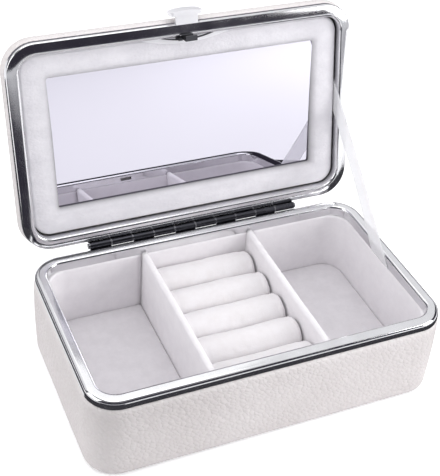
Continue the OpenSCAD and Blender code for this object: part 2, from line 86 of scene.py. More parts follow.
@dataclass(frozen=True)
class Case:
    """Sizes that every sub-assembly shares, read from the construction.

    corner is the radius of the upright corners on the metal frame, and lining_corner the
    radius inside the lining.
    """

    half_w: float = float(high("base_frame")[0])
    half_d: float = float(high("base_frame")[1])
    rim_z: float = float(high("base_frame")[2])
    cover_x: float = float(high("base_leather_cover")[0])
    cover_foot_z: float = float(low("base_leather_cover")[2])
    cover_top_z: float = 40.8 * MM
    lining_top_z: float = float(high("lining_left")[2])
    lining_foot_z: float = float(low("lining_left")[2])
    bay_x: float = float(high("floor_pad_right")[0])
    bay_y: float = float(high("floor_pad_right")[1])
    corner: float = 14.2 * MM
    lining_corner: float = 10.5 * MM
    bottom_r: float = 2.7 * MM
    top_r: float = 3.5 * MM
    lip_w: float = 5.9 * MM
    mate_gap: float = 0.4 * MM
    lid_h: float = 12.5 * MM

    @property
    def lid_z(self) -> float:
        """Level of the shut lid's frame face."""
        return self.rim_z + self.mate_gap


CASE = Case()
HINGE = next(j for j in frame["joints"] if j["name"] == "lid_hinge")
OPEN_ANGLE = math.radians(HINGE["range_deg"][1])


def turn_lid(points: np.ndarray, angle: float) -> np.ndarray:
    """Turns points about the hinge pin, which runs along X.

    Args:
        points: array whose last axis holds x, y, z.
        angle: the turn from +Y towards +Z, in radians.

    Returns:
        The turned points.
    """
    pin = np.array(HINGE["pos_m"])
    away = points - pin
    y = away[..., 1] * math.cos(angle) - away[..., 2] * math.sin(angle)
    z = away[..., 1] * math.sin(angle) + away[..., 2] * math.cos(angle)
    return np.stack([away[..., 0], y, z], axis=-1) + pin


def open_lid(points: np.ndarray) -> np.ndarray:
    """Points of the shut lid, turned back to the open lid by the hinge's whole range."""
    return turn_lid(points, -OPEN_ANGLE)


def shut_lid(points: np.ndarray) -> np.ndarray:
    """Points of the open lid, turned to the shut lid, the reverse of open_lid."""
    return turn_lid(points, OPEN_ANGLE)


# ------------------------------------------------------------------ outlines and surfaces

def points_of(mesh: bpy.types.Mesh) -> np.ndarray:
    """Reads the points of a mesh.

    Args:
        mesh: any mesh.

    Returns:
        Its points as an (n, 3) array.
    """
    flat = np.empty(len(mesh.vertices) * 3)
    mesh.vertices.foreach_get("co", flat)
    return flat.reshape(-1, 3)


def grid_of(x: np.ndarray, y: np.ndarray, z: np.ndarray) -> np.ndarray:
    """Grid of points from three coordinates, each stretched to the grid's rows and columns."""
    return np.stack(np.broadcast_arrays(x, y, z), axis=-1)


def raised(flat: np.ndarray, height: np.ndarray) -> np.ndarray:
    """Grid of points from a grid of x and y, with one height for each row."""
    tall = np.broadcast_to(height[:, None, None], flat.shape[:2] + (1,))
    return np.concatenate([flat, tall], axis=-1)


@dataclass(frozen=True)
class Rails:
    """A path seen from above: a run of centres and of unit directions away from them.

    A point of the path at distance r is centre + r * direction, so a round corner has one
    centre and turning directions, and a straight has moving centres and one direction.
    """

    centres: np.ndarray
    directions: np.ndarray

    @staticmethod
    def round_corner(x: float, y: float, start_deg: float, steps: int) -> "Rails":
        """Quarter circle of directions about one centre, from start_deg on, counter-clockwise.

        Args:
            x: x of the centre.
            y: y of the centre.
            start_deg: first direction, from +X towards +Y.
            steps: how many steps make the quarter.

        Returns:
            The path of the corner.
        """
        angles = np.radians(start_deg + np.linspace(0, 90, steps + 1))
        directions = np.stack([np.cos(angles), np.sin(angles)], axis=-1)
        return Rails(np.tile([x, y], (steps + 1, 1)), directions)

    def _straight(self, to: np.ndarray, pitch: float) -> tuple[np.ndarray, np.ndarray]:
        """Straight from this path's last centre to another, without both of them.

        Args:
            to: the other centre.
            pitch: length of a step, roughly.

        Returns:
            The centres and the directions of the straight.
        """
        gap = to - self.centres[-1]
        steps = max(int(np.linalg.norm(gap) / pitch), 1)
        share = np.linspace(0, 1, steps + 1)[1:-1, None]
        return self.centres[-1] + share * gap, np.tile(self.directions[-1], (steps - 1, 1))

    def joined(self, other: "Rails", pitch: float = 3 * MM) -> "Rails":
        """This path, a straight in steps of about pitch, and then the other path.

        Args:
            other: path to end with.
            pitch: length of a step of the straight, roughly.

        Returns:
            The joined path.
        """
        centres, directions = self._straight(other.centres[0], pitch)
        return Rails(
            np.concatenate([self.centres, centres, other.centres]),
            np.concatenate([self.directions, directions, other.directions]),
        )

    @staticmethod
    def loop(
        half_w: float, half_d: float, corner: float, pitch: float = 2.5 * MM, steps: int = 12
    ) -> "Rails":
        """Closed rounded rectangle, counter-clockwise from its right side's rear end.

        Args:
            half_w: half the width.
            half_d: half the depth.
            corner: radius of the corners.
            pitch: length of a step of a straight, roughly.
            steps: how many steps make a corner.

        Returns:
            The path, whose last point joins its first.
        """
        x, y = half_w - corner, half_d - corner
        path = Rails.round_corner(x, y, 0, steps)
        for cx, cy, start in ((-x, y, 90), (-x, -y, 180), (x, -y, 270)):
            path = path.joined(Rails.round_corner(cx, cy, start, steps), pitch)
        centres, directions = path._straight(path.centres[0], pitch)
        return Rails(np.concatenate([path.centres, centres]), np.concatenate([path.directions, directions]))

    def points(self, radius: np.ndarray, height: np.ndarray, scale: np.ndarray | float = 1.0) -> np.ndarray:
        """Grid of points: each row is the path at one radius, one height and one centre scale.

        Args:
            radius: distance from the centres, one a row.
            height: height, one a row.
            scale: what the centres are multiplied by, one a row.

        Returns:
            Array (rows, columns, 3).
        """
        scale = np.broadcast_to(scale, radius.shape)
        flat = scale[:, None, None] * self.centres + radius[:, None, None] * self.directions
        return raised(flat, height)


def arc(
    cx: float, cy: float, radius: float, start_deg: float, end_deg: float, steps: int
) -> np.ndarray:
    """Points of a circular arc in the section plane, as an (n, 2) array."""
    angles = np.radians(np.linspace(start_deg, end_deg, steps + 1))
    return np.stack([cx + radius * np.cos(angles), cy + radius * np.sin(angles)], axis=-1)


def wobble(points: np.ndarray, size: float, length: float, seed: float) -> np.ndarray:
    """Smooth uneven field over points: a sum of three crossed sine waves.

    Args:
        points: array whose last axis holds x, y, z.
        size: the largest value of the field.
        length: wavelength of the longest wave.
        seed: shifts the waves, so that pieces differ.

    Returns:
        One value per point, between -size and size.
    """
    k = 2 * math.pi / length
    x, y, z = points[..., 0], points[..., 1], points[..., 2]
    field_sum = (
        np.sin(k * (x + 0.6 * y) + 1.7 * seed)
        + np.sin(k * 1.31 * (y - 0.4 * z) + 2.9 * seed)
        + np.sin(k * 0.83 * (z + 0.7 * x) + 4.1 * seed)
    )
    return size * field_sum / 3


class Mesh:
    """Mesh of a grid of points, with its object at the origin."""

    @staticmethod
    def from_grid(
        name: str,
        grid: np.ndarray,
        closed_u: bool,
        closed_v: bool,
        caps: bool = False,
        marks: dict[str, np.ndarray] | None = None,
    ) -> bpy.types.Object:
        """Joins neighbouring points of a grid with quads.

        Args:
            name: the object's name.
            grid: array (rows, columns, 3); rows run along v and columns along u.
            closed_u: whether the last column joins the first.
            closed_v: whether the last row joins the first.
            caps: whether the first and last columns are closed by one face each.
            marks: named values, one per point, that a material can read.

        Returns:
            The object, smooth shaded, with its faces turned outwards.
        """
        rows, columns, _ = grid.shape
        index = np.arange(rows * columns).reshape(rows, columns)
        if closed_v:
            index = np.concatenate([index, index[:1]], axis=0)
        if closed_u:
            index = np.concatenate([index, index[:, :1]], axis=1)
        quads = np.stack([index[:-1, :-1], index[:-1, 1:], index[1:, 1:], index[1:, :-1]], axis=-1)
        faces = [tuple(q) for q in quads.reshape(-1, 4).tolist()]
        if caps:
            ring = np.arange(rows * columns).reshape(rows, columns)
            faces.append(tuple(ring[:, 0].tolist()))
            faces.append(tuple(ring[::-1, -1].tolist()))
        mesh = bpy.data.meshes.new(name)
        mesh.from_pydata(grid.reshape(-1, 3).tolist(), [], faces)
        shares = np.linspace(0, 1, rows), np.linspace(0, 1, columns)
        v_share, u_share = np.meshgrid(*shares, indexing="ij")
        Mesh.store(mesh, "share_u", u_share.ravel())
        Mesh.store(mesh, "share_v", v_share.ravel())
        for label, values in (marks or {}).items():
            Mesh.store(mesh, label, values.ravel())
        obj = bpy.data.objects.new(name, mesh)
        bpy.context.scene.collection.objects.link(obj)
        Mesh.tidy(obj)
        return obj

    @staticmethod
    def store(mesh: bpy.types.Mesh, name: str, values: np.ndarray) -> None:
        """Keeps one value per point as an attribute that a material can read."""
        attribute = mesh.attributes.new(name, "FLOAT", "POINT")
        attribute.data.foreach_set("value", values.astype(np.float32))

    @staticmethod
    def tidy(obj: bpy.types.Object) -> None:
        """Merges doubled points, turns the faces outwards and shades them smooth.

        Args:
            obj: object with a closed or open mesh.
        """
        work = bmesh.new()
        work.from_mesh(obj.data)
        bmesh.ops.remove_doubles(work, verts=work.verts, dist=0.002 * MM)
        bmesh.ops.dissolve_degenerate(work, edges=work.edges, dist=0.001 * MM)
        bmesh.ops.recalc_face_normals(work, faces=work.faces)
        work.to_mesh(obj.data)
        work.free()
        obj.data.polygons.foreach_set("use_smooth", np.ones(len(obj.data.polygons), bool))


@dataclass
class Stuffing:
    """Lets a closed piece swell as stuffed cloth does.

    The cloth solver suits pieces the size of a cushion, so the piece is enlarged for it and
    brought back to size.
    """

    voxel: float
    cap: float
    pressure: float = 4.0
    frames: int = 20
    enlarge: float = 12.0

    @staticmethod
    def _bake(obj: bpy.types.Object) -> None:
        """Replaces the mesh by what its modifiers make of it, and removes them.

        Args:
            obj: object with modifiers.
        """
        shaped = obj.evaluated_get(bpy.context.evaluated_depsgraph_get())
        mesh = bpy.data.meshes.new_from_object(shaped)
        mesh.name = obj.name
        obj.modifiers.clear()
        obj.data = mesh

    def swell(self, obj: bpy.types.Object) -> bpy.types.Object:
        """Remeshes the piece, lets pressure push it out, limits the way and smooths it.

        Each point ends at its start plus its simulated way, shortened to the cap.

        Args:
            obj: closed piece, before it is dressed.

        Returns:
            The same object with its new mesh.
        """
        obj.data.vertices.foreach_set("co", (points_of(obj.data) * self.enlarge).ravel())
        remesh = obj.modifiers.new("remesh", "REMESH")
        remesh.mode = "VOXEL"
        remesh.voxel_size = self.voxel * self.enlarge
        self._bake(obj)
        start = points_of(obj.data)
        cloth = obj.modifiers.new("cloth", "CLOTH")
        cloth.settings.use_pressure = True
        cloth.settings.uniform_pressure_force = self.pressure
        cloth.settings.effector_weights.gravity = 0
        cloth.point_cache.frame_start = 1
        cloth.point_cache.frame_end = self.frames
        for step in range(1, self.frames + 1):
            bpy.context.scene.frame_set(step)
        way = points_of(obj.evaluated_get(bpy.context.evaluated_depsgraph_get()).data) - start
        obj.modifiers.clear()
        bpy.context.scene.frame_set(1)
        length = np.linalg.norm(way, axis=1, keepdims=True)
        limit = self.cap * self.enlarge
        end = start + way * np.minimum(1, limit / np.maximum(length, 1e-9))
        obj.data.vertices.foreach_set("co", (end / self.enlarge).ravel())
        finer = obj.modifiers.new("finer", "SUBSURF")
        finer.levels = finer.render_levels = 1
        self._bake(obj)
        obj.data.polygons.foreach_set("use_smooth", np.ones(len(obj.data.polygons), bool))
        most = float(np.minimum(length, limit).max()) / self.enlarge
        LOG.info("%s swells by up to %.2f mm", obj.name, most / MM)
        return obj


# ------------------------------------------------------------------ node wiring

class Wiring:
    """Adds shader nodes to a tree and links them, left to right."""

    def __init__(self, tree: bpy.types.NodeTree) -> None:
        """Starts on an empty tree."""
        self.tree = tree
        self.count = 0

    def add(self, kind: str, inputs: dict | None = None, **settings: object) -> bpy.types.Node:
        """Adds one node.

        Args:
            kind: Blender's type name of the node.
            inputs: input name or number to a value, or to another node's output socket.
            settings: attributes of the node, such as operation="MULTIPLY".

        Returns:
            The node.
        """
        node = self.tree.nodes.new(kind)
        node.location = (180 * self.count, 0)
        self.count += 1
        for name, value in settings.items():
            setattr(node, name, value)
        for name, value in (inputs or {}).items():
            if isinstance(value, bpy.types.NodeSocket):
                self.tree.links.new(value, node.inputs[name])
            else:
                node.inputs[name].default_value = value
        return node

    def link(self, source: bpy.types.NodeSocket, node: bpy.types.Node, name: str) -> None:
        """Feeds an output to a named input of a node."""
        self.tree.links.new(source, node.inputs[name])

    def group(self, tree: bpy.types.NodeTree, inputs: dict) -> bpy.types.Node:
        """Places a shared effect with its own values."""
        return self.add("ShaderNodeGroup", inputs, node_tree=tree)

    def math(self, operation: str, *values: object, clamp: bool = False) -> bpy.types.NodeSocket:
        """Result of a Math node on numbers and sockets."""
        inputs = dict(enumerate(values))
        return self.add("ShaderNodeMath", inputs, operation=operation, use_clamp=clamp).outputs[0]

    def ramp(self, factor: bpy.types.NodeSocket, stops: list[tuple[float, float]]) -> bpy.types.NodeSocket:
        """Grey ramp through (position, value) stops.

        Args:
            factor: what is read off along the ramp.
            stops: position and value of each stop.

        Returns:
            The ramp's grey.
        """
        node = self.add("ShaderNodeValToRGB", {"Fac": factor})
        elements = node.color_ramp.elements
        while len(elements) < len(stops):
            elements.new(0.5)
        for element, (position, value) in zip(elements, stops):
            element.position = position
            element.color = (value, value, value, 1)
        return node.outputs["Color"]

    def mix(self, factor: object, first: object, second: object) -> bpy.types.NodeSocket:
        """Mix of two colours."""
        node = self.add("ShaderNodeMix", {0: factor, 6: first, 7: second}, data_type="RGBA")
        return node.outputs[2]


def fresh_wiring(owner: bpy.types.Material | bpy.types.World) -> Wiring:
    """Empties the nodes of a material or a world.

    Args:
        owner: the material or world.

    Returns:
        The wiring of its empty tree.
    """
    owner.use_nodes = True
    owner.node_tree.nodes.clear()
    return Wiring(owner.node_tree)


class Socket(Enum):
    """Kinds of group socket."""

    NUMBER = "NodeSocketFloat"
    COLOUR = "NodeSocketColor"
    VECTOR = "NodeSocketVector"


def new_group(
    name: str, inputs: dict[str, tuple[Socket, object]], outputs: dict[str, Socket]
) -> tuple[Wiring, bpy.types.Node, bpy.types.Node]:
    """Starts a shader node group with named sockets.

    Args:
        name: the group's name.
        inputs: socket name to its kind and default value.
        outputs: socket name to its kind.

    Returns:
        The wiring of the group, its input node and its output node.
    """
    tree = bpy.data.node_groups.new(name, "ShaderNodeTree")
    for label, (kind, default) in inputs.items():
        socket = tree.interface.new_socket(label, in_out="INPUT", socket_type=kind.value)
        socket.default_value = default
    for label, kind in outputs.items():
        tree.interface.new_socket(label, in_out="OUTPUT", socket_type=kind.value)
    wiring = Wiring(tree)
    return wiring, wiring.add("NodeGroupInput"), wiring.add("NodeGroupOutput")


class Effects:
    """Shared surface effects, each a node group that is built once."""

    def __init__(self) -> None:
        """Builds the groups."""
        self.pebble = self._pebble()
        self.nap = self._nap()
        self.mottle = self._mottle()
        self.weave = self._weave()
        self.polish = self._polish()
        self.crown = self._crown()

    @staticmethod
    def _pebble() -> bpy.types.NodeTree:
        """Pebbled grain: rounded cells of uneven size with fine creases between them.

        Returns:
            The node group.
        """
        w, source, sink = new_group(
            "pebble_grain",
            {"Vector": (Socket.VECTOR, (0, 0, 0)), "Cell": (Socket.NUMBER, 1.5 * MM)},
            {"Height": Socket.NUMBER, "Crease": Socket.NUMBER},
        )
        sway, dome_power, fine_share, cut_share = 1.1 * MM, 1.6, 0.15, 0.24
        vector = source.outputs["Vector"]
        per_m = w.math("DIVIDE", 1.0, source.outputs["Cell"])
        bend = w.add("ShaderNodeTexNoise", {"Vector": vector, "Scale": 420.0, "Detail": 1.0})
        centred = {0: bend.outputs["Color"], 1: (0.5, 0.5, 0.5)}
        shift = w.add("ShaderNodeVectorMath", centred, operation="SUBTRACT")
        moved = w.add("ShaderNodeVectorMath", {0: shift.outputs[0], "Scale": sway}, operation="SCALE")
        place = w.add("ShaderNodeVectorMath", {0: vector, 1: moved.outputs[0]}, operation="ADD")
        cell = {"Vector": place.outputs[0], "Scale": per_m, "Randomness": 0.9}
        cells = w.add("ShaderNodeTexVoronoi", {**cell, "Smoothness": 0.35}, feature="SMOOTH_F1")
        edges = w.add("ShaderNodeTexVoronoi", cell, feature="DISTANCE_TO_EDGE")
        crease = w.ramp(edges.outputs["Distance"], [(0.0, 1.0), (0.22, 0.0)])
        dome = w.math("SUBTRACT", 1.0, w.math("POWER", cells.outputs["Distance"], dome_power))
        fine = w.add("ShaderNodeTexNoise", {"Vector": vector, "Scale": 2600.0, "Detail": 3.0})
        height = w.math("ADD", dome, w.math("MULTIPLY", fine.outputs["Fac"], fine_share))
        w.link(w.math("SUBTRACT", height, w.math("MULTIPLY", crease, cut_share)), sink, "Height")
        w.link(crease, sink, "Crease")
        return w.tree

    @staticmethod
    def _nap() -> bpy.types.NodeTree:
        """Short pile: fine tufts, with soft patches where the nap has been brushed.

        Returns:
            The node group.
        """
        w, source, sink = new_group(
            "velvet_nap",
            {
                "Vector": (Socket.VECTOR, (0, 0, 0)),
                "Stretch": (Socket.VECTOR, (1, 1, 1)),
                "Tuft": (Socket.NUMBER, 0.35 * MM),
            },
            {"Height": Socket.NUMBER, "Brushed": Socket.NUMBER},
        )
        both = {0: source.outputs["Vector"], 1: source.outputs["Stretch"]}
        drawn = w.add("ShaderNodeVectorMath", both, operation="MULTIPLY")
        per_m = w.math("DIVIDE", 1.0, source.outputs["Tuft"])
        tufts = w.add("ShaderNodeTexNoise", {"Vector": drawn.outputs[0], "Scale": per_m, "Detail": 2.0})
        brushed = {"Vector": drawn.outputs[0], "Scale": 160.0, "Detail": 4.0, "Roughness": 0.65}
        patches = w.add("ShaderNodeTexNoise", brushed)
        w.link(tufts.outputs["Fac"], sink, "Height")
        w.link(patches.outputs["Fac"], sink, "Brushed")
        return w.tree

    @staticmethod
    def _mottle() -> bpy.types.NodeTree:
        """Slow change of tone over a surface, between two colours.

        Returns:
            The node group.
        """
        w, source, sink = new_group(
            "slow_mottle",
            {
                "Vector": (Socket.VECTOR, (0, 0, 0)),
                "Patch": (Socket.NUMBER, 30 * MM),
                "First": (Socket.COLOUR, (1, 1, 1, 1)),
                "Second": (Socket.COLOUR, (1, 1, 1, 1)),
            },
            {"Color": Socket.COLOUR},
        )
        per_m = w.math("DIVIDE", 1.0, source.outputs["Patch"])
        cloud = {"Vector": source.outputs["Vector"], "Scale": per_m, "Detail": 3.0}
        noise = w.add("ShaderNodeTexNoise", cloud)
        share = w.ramp(noise.outputs["Fac"], [(0.35, 0.0), (0.65, 1.0)])
        w.link(w.mix(share, source.outputs["First"], source.outputs["Second"]), sink, "Color")
        return w.tree

    @staticmethod
    def _weave() -> bpy.types.NodeTree:
        """Open plain weave: crossing threads with gaps, denser along both edges of a ribbon.

        Returns:
            The node group.
        """
        w, source, sink = new_group(
            "open_weave",
            {
                "Across": (Socket.NUMBER, 0.0),
                "Along": (Socket.NUMBER, 0.0),
                "Warps": (Socket.NUMBER, 34.0),
                "Wefts": (Socket.NUMBER, 170.0),
            },
            {"Cover": Socket.NUMBER, "Edge": Socket.NUMBER},
        )

        def threads(place: bpy.types.NodeSocket, count: bpy.types.NodeSocket) -> bpy.types.NodeSocket:
            """Rounded ridges: the sine of the place, count times over."""
            turns = w.math("MULTIPLY", w.math("MULTIPLY", place, count), 2 * math.pi)
            return w.math("MULTIPLY_ADD", w.math("SINE", turns), 0.5, 0.5)

        warp = threads(source.outputs["Across"], source.outputs["Warps"])
        weft = threads(source.outputs["Along"], source.outputs["Wefts"])
        both = w.math("MAXIMUM", warp, weft)
        off_centre = w.math("ABSOLUTE", w.math("SUBTRACT", source.outputs["Across"], 0.5))
        edge = w.ramp(off_centre, [(0.43, 0.0), (0.47, 1.0)])
        w.link(both, sink, "Cover")
        w.link(edge, sink, "Edge")
        return w.tree

    @staticmethod
    def _polish() -> bpy.types.NodeTree:
        """Handling of plated metal: faint long scratches and smears that dull the shine.

        Returns:
            The node group.
        """
        w, source, sink = new_group(
            "polish_marks",
            {
                "Vector": (Socket.VECTOR, (0, 0, 0)),
                "Low": (Socket.NUMBER, 0.06),
                "High": (Socket.NUMBER, 0.16),
            },
            {"Roughness": Socket.NUMBER, "Height": Socket.NUMBER},
        )
        vector = source.outputs["Vector"]
        smear = w.add("ShaderNodeTexNoise", {"Vector": vector, "Scale": 90.0, "Detail": 4.0})
        drawn = w.add("ShaderNodeVectorMath", {0: vector, 1: (1, 7, 7)}, operation="MULTIPLY")
        lines = w.add("ShaderNodeTexNoise", {"Vector": drawn.outputs[0], "Scale": 420.0, "Detail": 5.0})
        share = w.ramp(smear.outputs["Fac"], [(0.3, 0.0), (0.75, 1.0)])
        span = w.math("SUBTRACT", source.outputs["High"], source.outputs["Low"])
        rough = w.math("MULTIPLY_ADD", share, span, source.outputs["Low"])
        w.link(rough, sink, "Roughness")
        w.link(lines.outputs["Fac"], sink, "Height")
        return w.tree

    @staticmethod
    def _crown() -> bpy.types.NodeTree:
        """Crown of a pressed band that runs round a case with round corners.

        The distance from the inner rectangle of corner centres tells how far across the band a
        point lies; the height falls with the square of the way from the band's middle.

        Returns:
            The node group.
        """
        w, source, sink = new_group(
            "band_crown",
            {
                "Vector": (Socket.VECTOR, (0, 0, 0)),
                "Span": (Socket.VECTOR, (0, 0, 0)),
                "Middle": (Socket.NUMBER, 10 * MM),
                "Half width": (Socket.NUMBER, 3 * MM),
            },
            {"Height": Socket.NUMBER},
        )
        sides = w.add("ShaderNodeVectorMath", {0: source.outputs["Vector"]}, operation="ABSOLUTE")
        beyond = {0: sides.outputs[0], 1: source.outputs["Span"]}
        past = w.add("ShaderNodeVectorMath", beyond, operation="SUBTRACT")
        out = w.add("ShaderNodeVectorMath", {0: past.outputs[0], 1: (0, 0, 0)}, operation="MAXIMUM")
        reach = w.add("ShaderNodeVectorMath", {0: out.outputs[0]}, operation="LENGTH")
        away = w.math("SUBTRACT", reach.outputs["Value"], source.outputs["Middle"])
        across = w.math("DIVIDE", away, source.outputs["Half width"])
        w.link(w.math("SUBTRACT", 1.0, w.math("MULTIPLY", across, across)), sink, "Height")
        return w.tree


EFFECTS = Effects()


# ------------------------------------------------------------------ finishes

@dataclass(frozen=True)
class Finish:
    """A surface finish. Sub-classes say how its nodes are wired."""

    name: str
    colour: tuple[float, float, float]
    roughness: float = 0.5

    def build(self) -> bpy.types.Material:
        """Makes the material, or returns it if it is made already.

        Returns:
            The material.
        """
        done = bpy.data.materials.get("finish_" + self.name)
        if done:
            return done
        material = bpy.data.materials.new("finish_" + self.name)
        wiring = fresh_wiring(material)
        plain = {"Base Color": (*self.colour, 1), "Roughness": self.roughness}
        shader = wiring.add("ShaderNodeBsdfPrincipled", plain)
        output = wiring.add("ShaderNodeOutputMaterial", {"Surface": shader.outputs[0]})
        output.is_active_output = True
        self.wire(wiring, shader)
        return material

    def wire(self, w: Wiring, shader: bpy.types.Node) -> None:
        """Adds the finish's own nodes."""

    @staticmethod
    def place(w: Wiring) -> bpy.types.NodeSocket:
        """Object coordinates."""
        return w.add("ShaderNodeTexCoord").outputs["Object"]

    @staticmethod
    def bump(
        w: Wiring, shader: bpy.types.Node, height: bpy.types.NodeSocket, depth: float, strength: float
    ) -> None:
        """Feeds a height to the normal of the shader, or of another bump node."""
        node = w.add("ShaderNodeBump", {"Height": height, "Distance": depth, "Strength": strength})
        w.link(node.outputs["Normal"], shader, "Normal")

    def mottled(
        self, w: Wiring, place: bpy.types.NodeSocket, other: tuple, patch: float
    ) -> bpy.types.NodeSocket:
        """The finish's colour, drifting to another colour in patches of a given length."""
        drift = {"Vector": place, "Patch": patch, "First": (*self.colour, 1), "Second": (*other, 1)}
        return w.group(EFFECTS.mottle, drift).outputs["Color"]


@dataclass(frozen=True)
class Leather(Finish):
    """Pebble-grained leatherette with a soft sheen."""

    second: tuple[float, float, float] = (0.6, 0.55, 0.53)
    cell: float = 1.5 * MM
    depth: float = 0.16 * MM
    crease_shade_share: float = 0.12
    hem_highlight_share: float = 0.6
    hem_highlight: tuple[float, float, float] = (0.84, 0.81, 0.81)
    lean_deg: float = 33.0
    stretch: tuple[float, float, float] = (1.35, 1.0, 0.85)
    patch: float = 28 * MM
    crease_shade: float = 0.55
    crease_dulling: float = 0.2
    relief: float = 0.9

    def wire(self, w: Wiring, shader: bpy.types.Node) -> None:
        """Grain in bump and tone with painted shade in its creases, slow mottling, duller creases, and a
        painted highlight that pales the leather towards the hem.

        Args:
            w: wiring of the material.
            shader: the material's shader.
        """
        place = self.place(w)
        lean = (0, math.radians(self.lean_deg), 0)
        turned = {"Vector": place, "Rotation": lean, "Scale": self.stretch}
        drawn = w.add("ShaderNodeMapping", turned, vector_type="TEXTURE")
        grain = w.group(EFFECTS.pebble, {"Vector": drawn.outputs[0], "Cell": self.cell})
        tone = self.mottled(w, place, self.second, self.patch)
        # Painted shade: the grain's creases are darkened in colour.
        shade = w.math("MULTIPLY", grain.outputs["Crease"], self.crease_shade_share)
        colour = w.mix(shade, tone, (*[c * self.crease_shade for c in self.second], 1))
        # Painted highlight: the leather is paled towards the hem, as if the fold there caught the light.
        hem = w.add("ShaderNodeAttribute", attribute_name="hem").outputs["Fac"]
        highlighted = w.mix(w.math("MULTIPLY", hem, self.hem_highlight_share), colour, (*self.hem_highlight, 1))
        w.link(highlighted, shader, "Base Color")
        rough = w.math("MULTIPLY_ADD", grain.outputs["Crease"], self.crease_dulling, self.roughness)
        w.link(rough, shader, "Roughness")
        self.bump(w, shader, grain.outputs["Height"], self.depth, self.relief)


@dataclass(frozen=True)
class Velvet(Finish):
    """Short-pile velvet over padding, greyed by painted shade where a piece marks it, as the lid pad does
    round the mirror window.
    """

    second: tuple[float, float, float] = (0.6, 0.6, 0.62)
    seam_tone: float = 0.75
    tuft: float = 0.5 * MM
    stretch: tuple[float, float, float] = (1, 1, 1)
    depth: float = 0.12 * MM
    relief: float = 0.8
    seam_shade: float = 0.2
    sheen: float = 0.35
    sheen_roughness: float = 0.5
    specular: float = 0.15

    def wire(self, w: Wiring, shader: bpy.types.Node) -> None:
        """Tufts in bump, brushed patches and painted shade in tone, and the pale rim of pile seen edge on.

        Args:
            w: wiring of the material.
            shader: the material's shader.
        """
        place = self.place(w)
        pile = {"Vector": place, "Stretch": self.stretch, "Tuft": self.tuft}
        nap = w.group(EFFECTS.nap, pile)
        patch = w.ramp(nap.outputs["Brushed"], [(0.36, 0.0), (0.64, 1.0)])
        colour = w.mix(patch, (*self.colour, 1), (*self.second, 1))
        # Painted shade: greys the velvet where the piece marks nearness to the mirror window.
        seam = w.add("ShaderNodeAttribute", attribute_name="seam").outputs["Fac"]
        dark = (*[c * self.seam_shade for c in self.second], 1)
        shaded = w.mix(w.math("MULTIPLY", seam, self.seam_tone), colour, dark)
        w.link(shaded, shader, "Base Color")
        shader.inputs["Sheen Weight"].default_value = self.sheen
        shader.inputs["Sheen Roughness"].default_value = self.sheen_roughness
        shader.inputs["Specular IOR Level"].default_value = self.specular
        self.bump(w, shader, nap.outputs["Height"], self.depth, self.relief)


@dataclass(frozen=True)
class Plated(Finish):
    """Bright plated metal with faint handling marks."""

    dull: float = 0.16
    depth: float = 0.004 * MM
    metallic: float = 1.0
    drift: float = 0.93
    patch: float = 12 * MM
    relief: float = 0.6

    def wire(self, w: Wiring, shader: bpy.types.Node) -> None:
        """Uneven shine and hairline marks.

        Args:
            w: wiring of the material.
            shader: the material's shader.
        """
        place = self.place(w)
        shine = {"Vector": place, "Low": self.roughness, "High": self.dull}
        marks = w.group(EFFECTS.polish, shine)
        shader.inputs["Metallic"].default_value = self.metallic
        colour = self.mottled(w, place, tuple(c * self.drift for c in self.colour), self.patch)
        w.link(colour, shader, "Base Color")
        w.link(marks.outputs["Roughness"], shader, "Roughness")
        self.bump(w, shader, marks.outputs["Height"], self.depth, self.relief)


@dataclass(frozen=True)
class Pressed(Plated):
    """Plated channel whose face is pressed to a low crown, so that its shine runs across it."""

    crown: float = 0.1 * MM
    opened: bool = False

    def wire(self, w: Wiring, shader: bpy.types.Node) -> None:
        """Crown across the face in bump, on top of the plating's own marks.

        Args:
            w: wiring of the material.
            shader: the material's shader.
        """
        super().wire(w, shader)
        place = self.place(w)
        if self.opened:
            place = self._shut(w, place)
        span = (CASE.half_w - CASE.corner, CASE.half_d - CASE.corner, 1.0)
        middle = CASE.corner - CASE.lip_w / 2
        values = {"Vector": place, "Span": span, "Middle": middle, "Half width": CASE.lip_w / 2}
        height = w.group(EFFECTS.crown, values).outputs["Height"]
        marks = shader.inputs["Normal"].links[0].from_node
        self.bump(w, marks, height, self.crown, 1.0)

    @staticmethod
    def _shut(w: Wiring, place: bpy.types.NodeSocket) -> bpy.types.NodeSocket:
        """Turns coordinates of the open lid back to the shut lid, about the hinge pin.

        Args:
            w: wiring of the material.
            place: coordinates on the open lid.

        Returns:
            The coordinates on the shut lid.
        """
        pin = Vector(HINGE["pos_m"])
        shift = pin - Matrix.Rotation(OPEN_ANGLE, 3, "X") @ pin
        turned = {"Vector": place, "Location": shift, "Rotation": (OPEN_ANGLE, 0, 0)}
        return w.add("ShaderNodeMapping", turned).outputs[0]


@dataclass(frozen=True)
class Knuckled(Plated):
    """Dark hinge metal, its near-black partly painted shade of the gap it sits in, with painted highlights
    at the ends of its knuckles.
    """

    pitch: float = 10.9 * MM
    glint_width: float = 0.3 * MM
    bright: tuple[float, float, float] = (0.3, 0.3, 0.32)
    whole_turns: float = 20.0

    def wire(self, w: Wiring, shader: bpy.types.Node) -> None:
        """Painted highlight where the distance along X from the nearest knuckle joint is small.

        Args:
            w: wiring of the material.
            shader: the material's shader.
        """
        super().wire(w, shader)
        place = w.add("ShaderNodeSeparateXYZ", {0: self.place(w)}).outputs[0]
        turn = w.math("FRACT", w.math("MULTIPLY_ADD", place, 1 / self.pitch, self.whole_turns + 0.5))
        away = w.math("MULTIPLY", w.math("ABSOLUTE", w.math("SUBTRACT", turn, 0.5)), self.pitch)
        # Painted highlight: a bright band at each knuckle joint.
        glint = w.math("LESS_THAN", away, self.glint_width)
        plain = shader.inputs["Base Color"].links[0].from_socket
        w.link(w.mix(glint, plain, (*self.bright, 1)), shader, "Base Color")


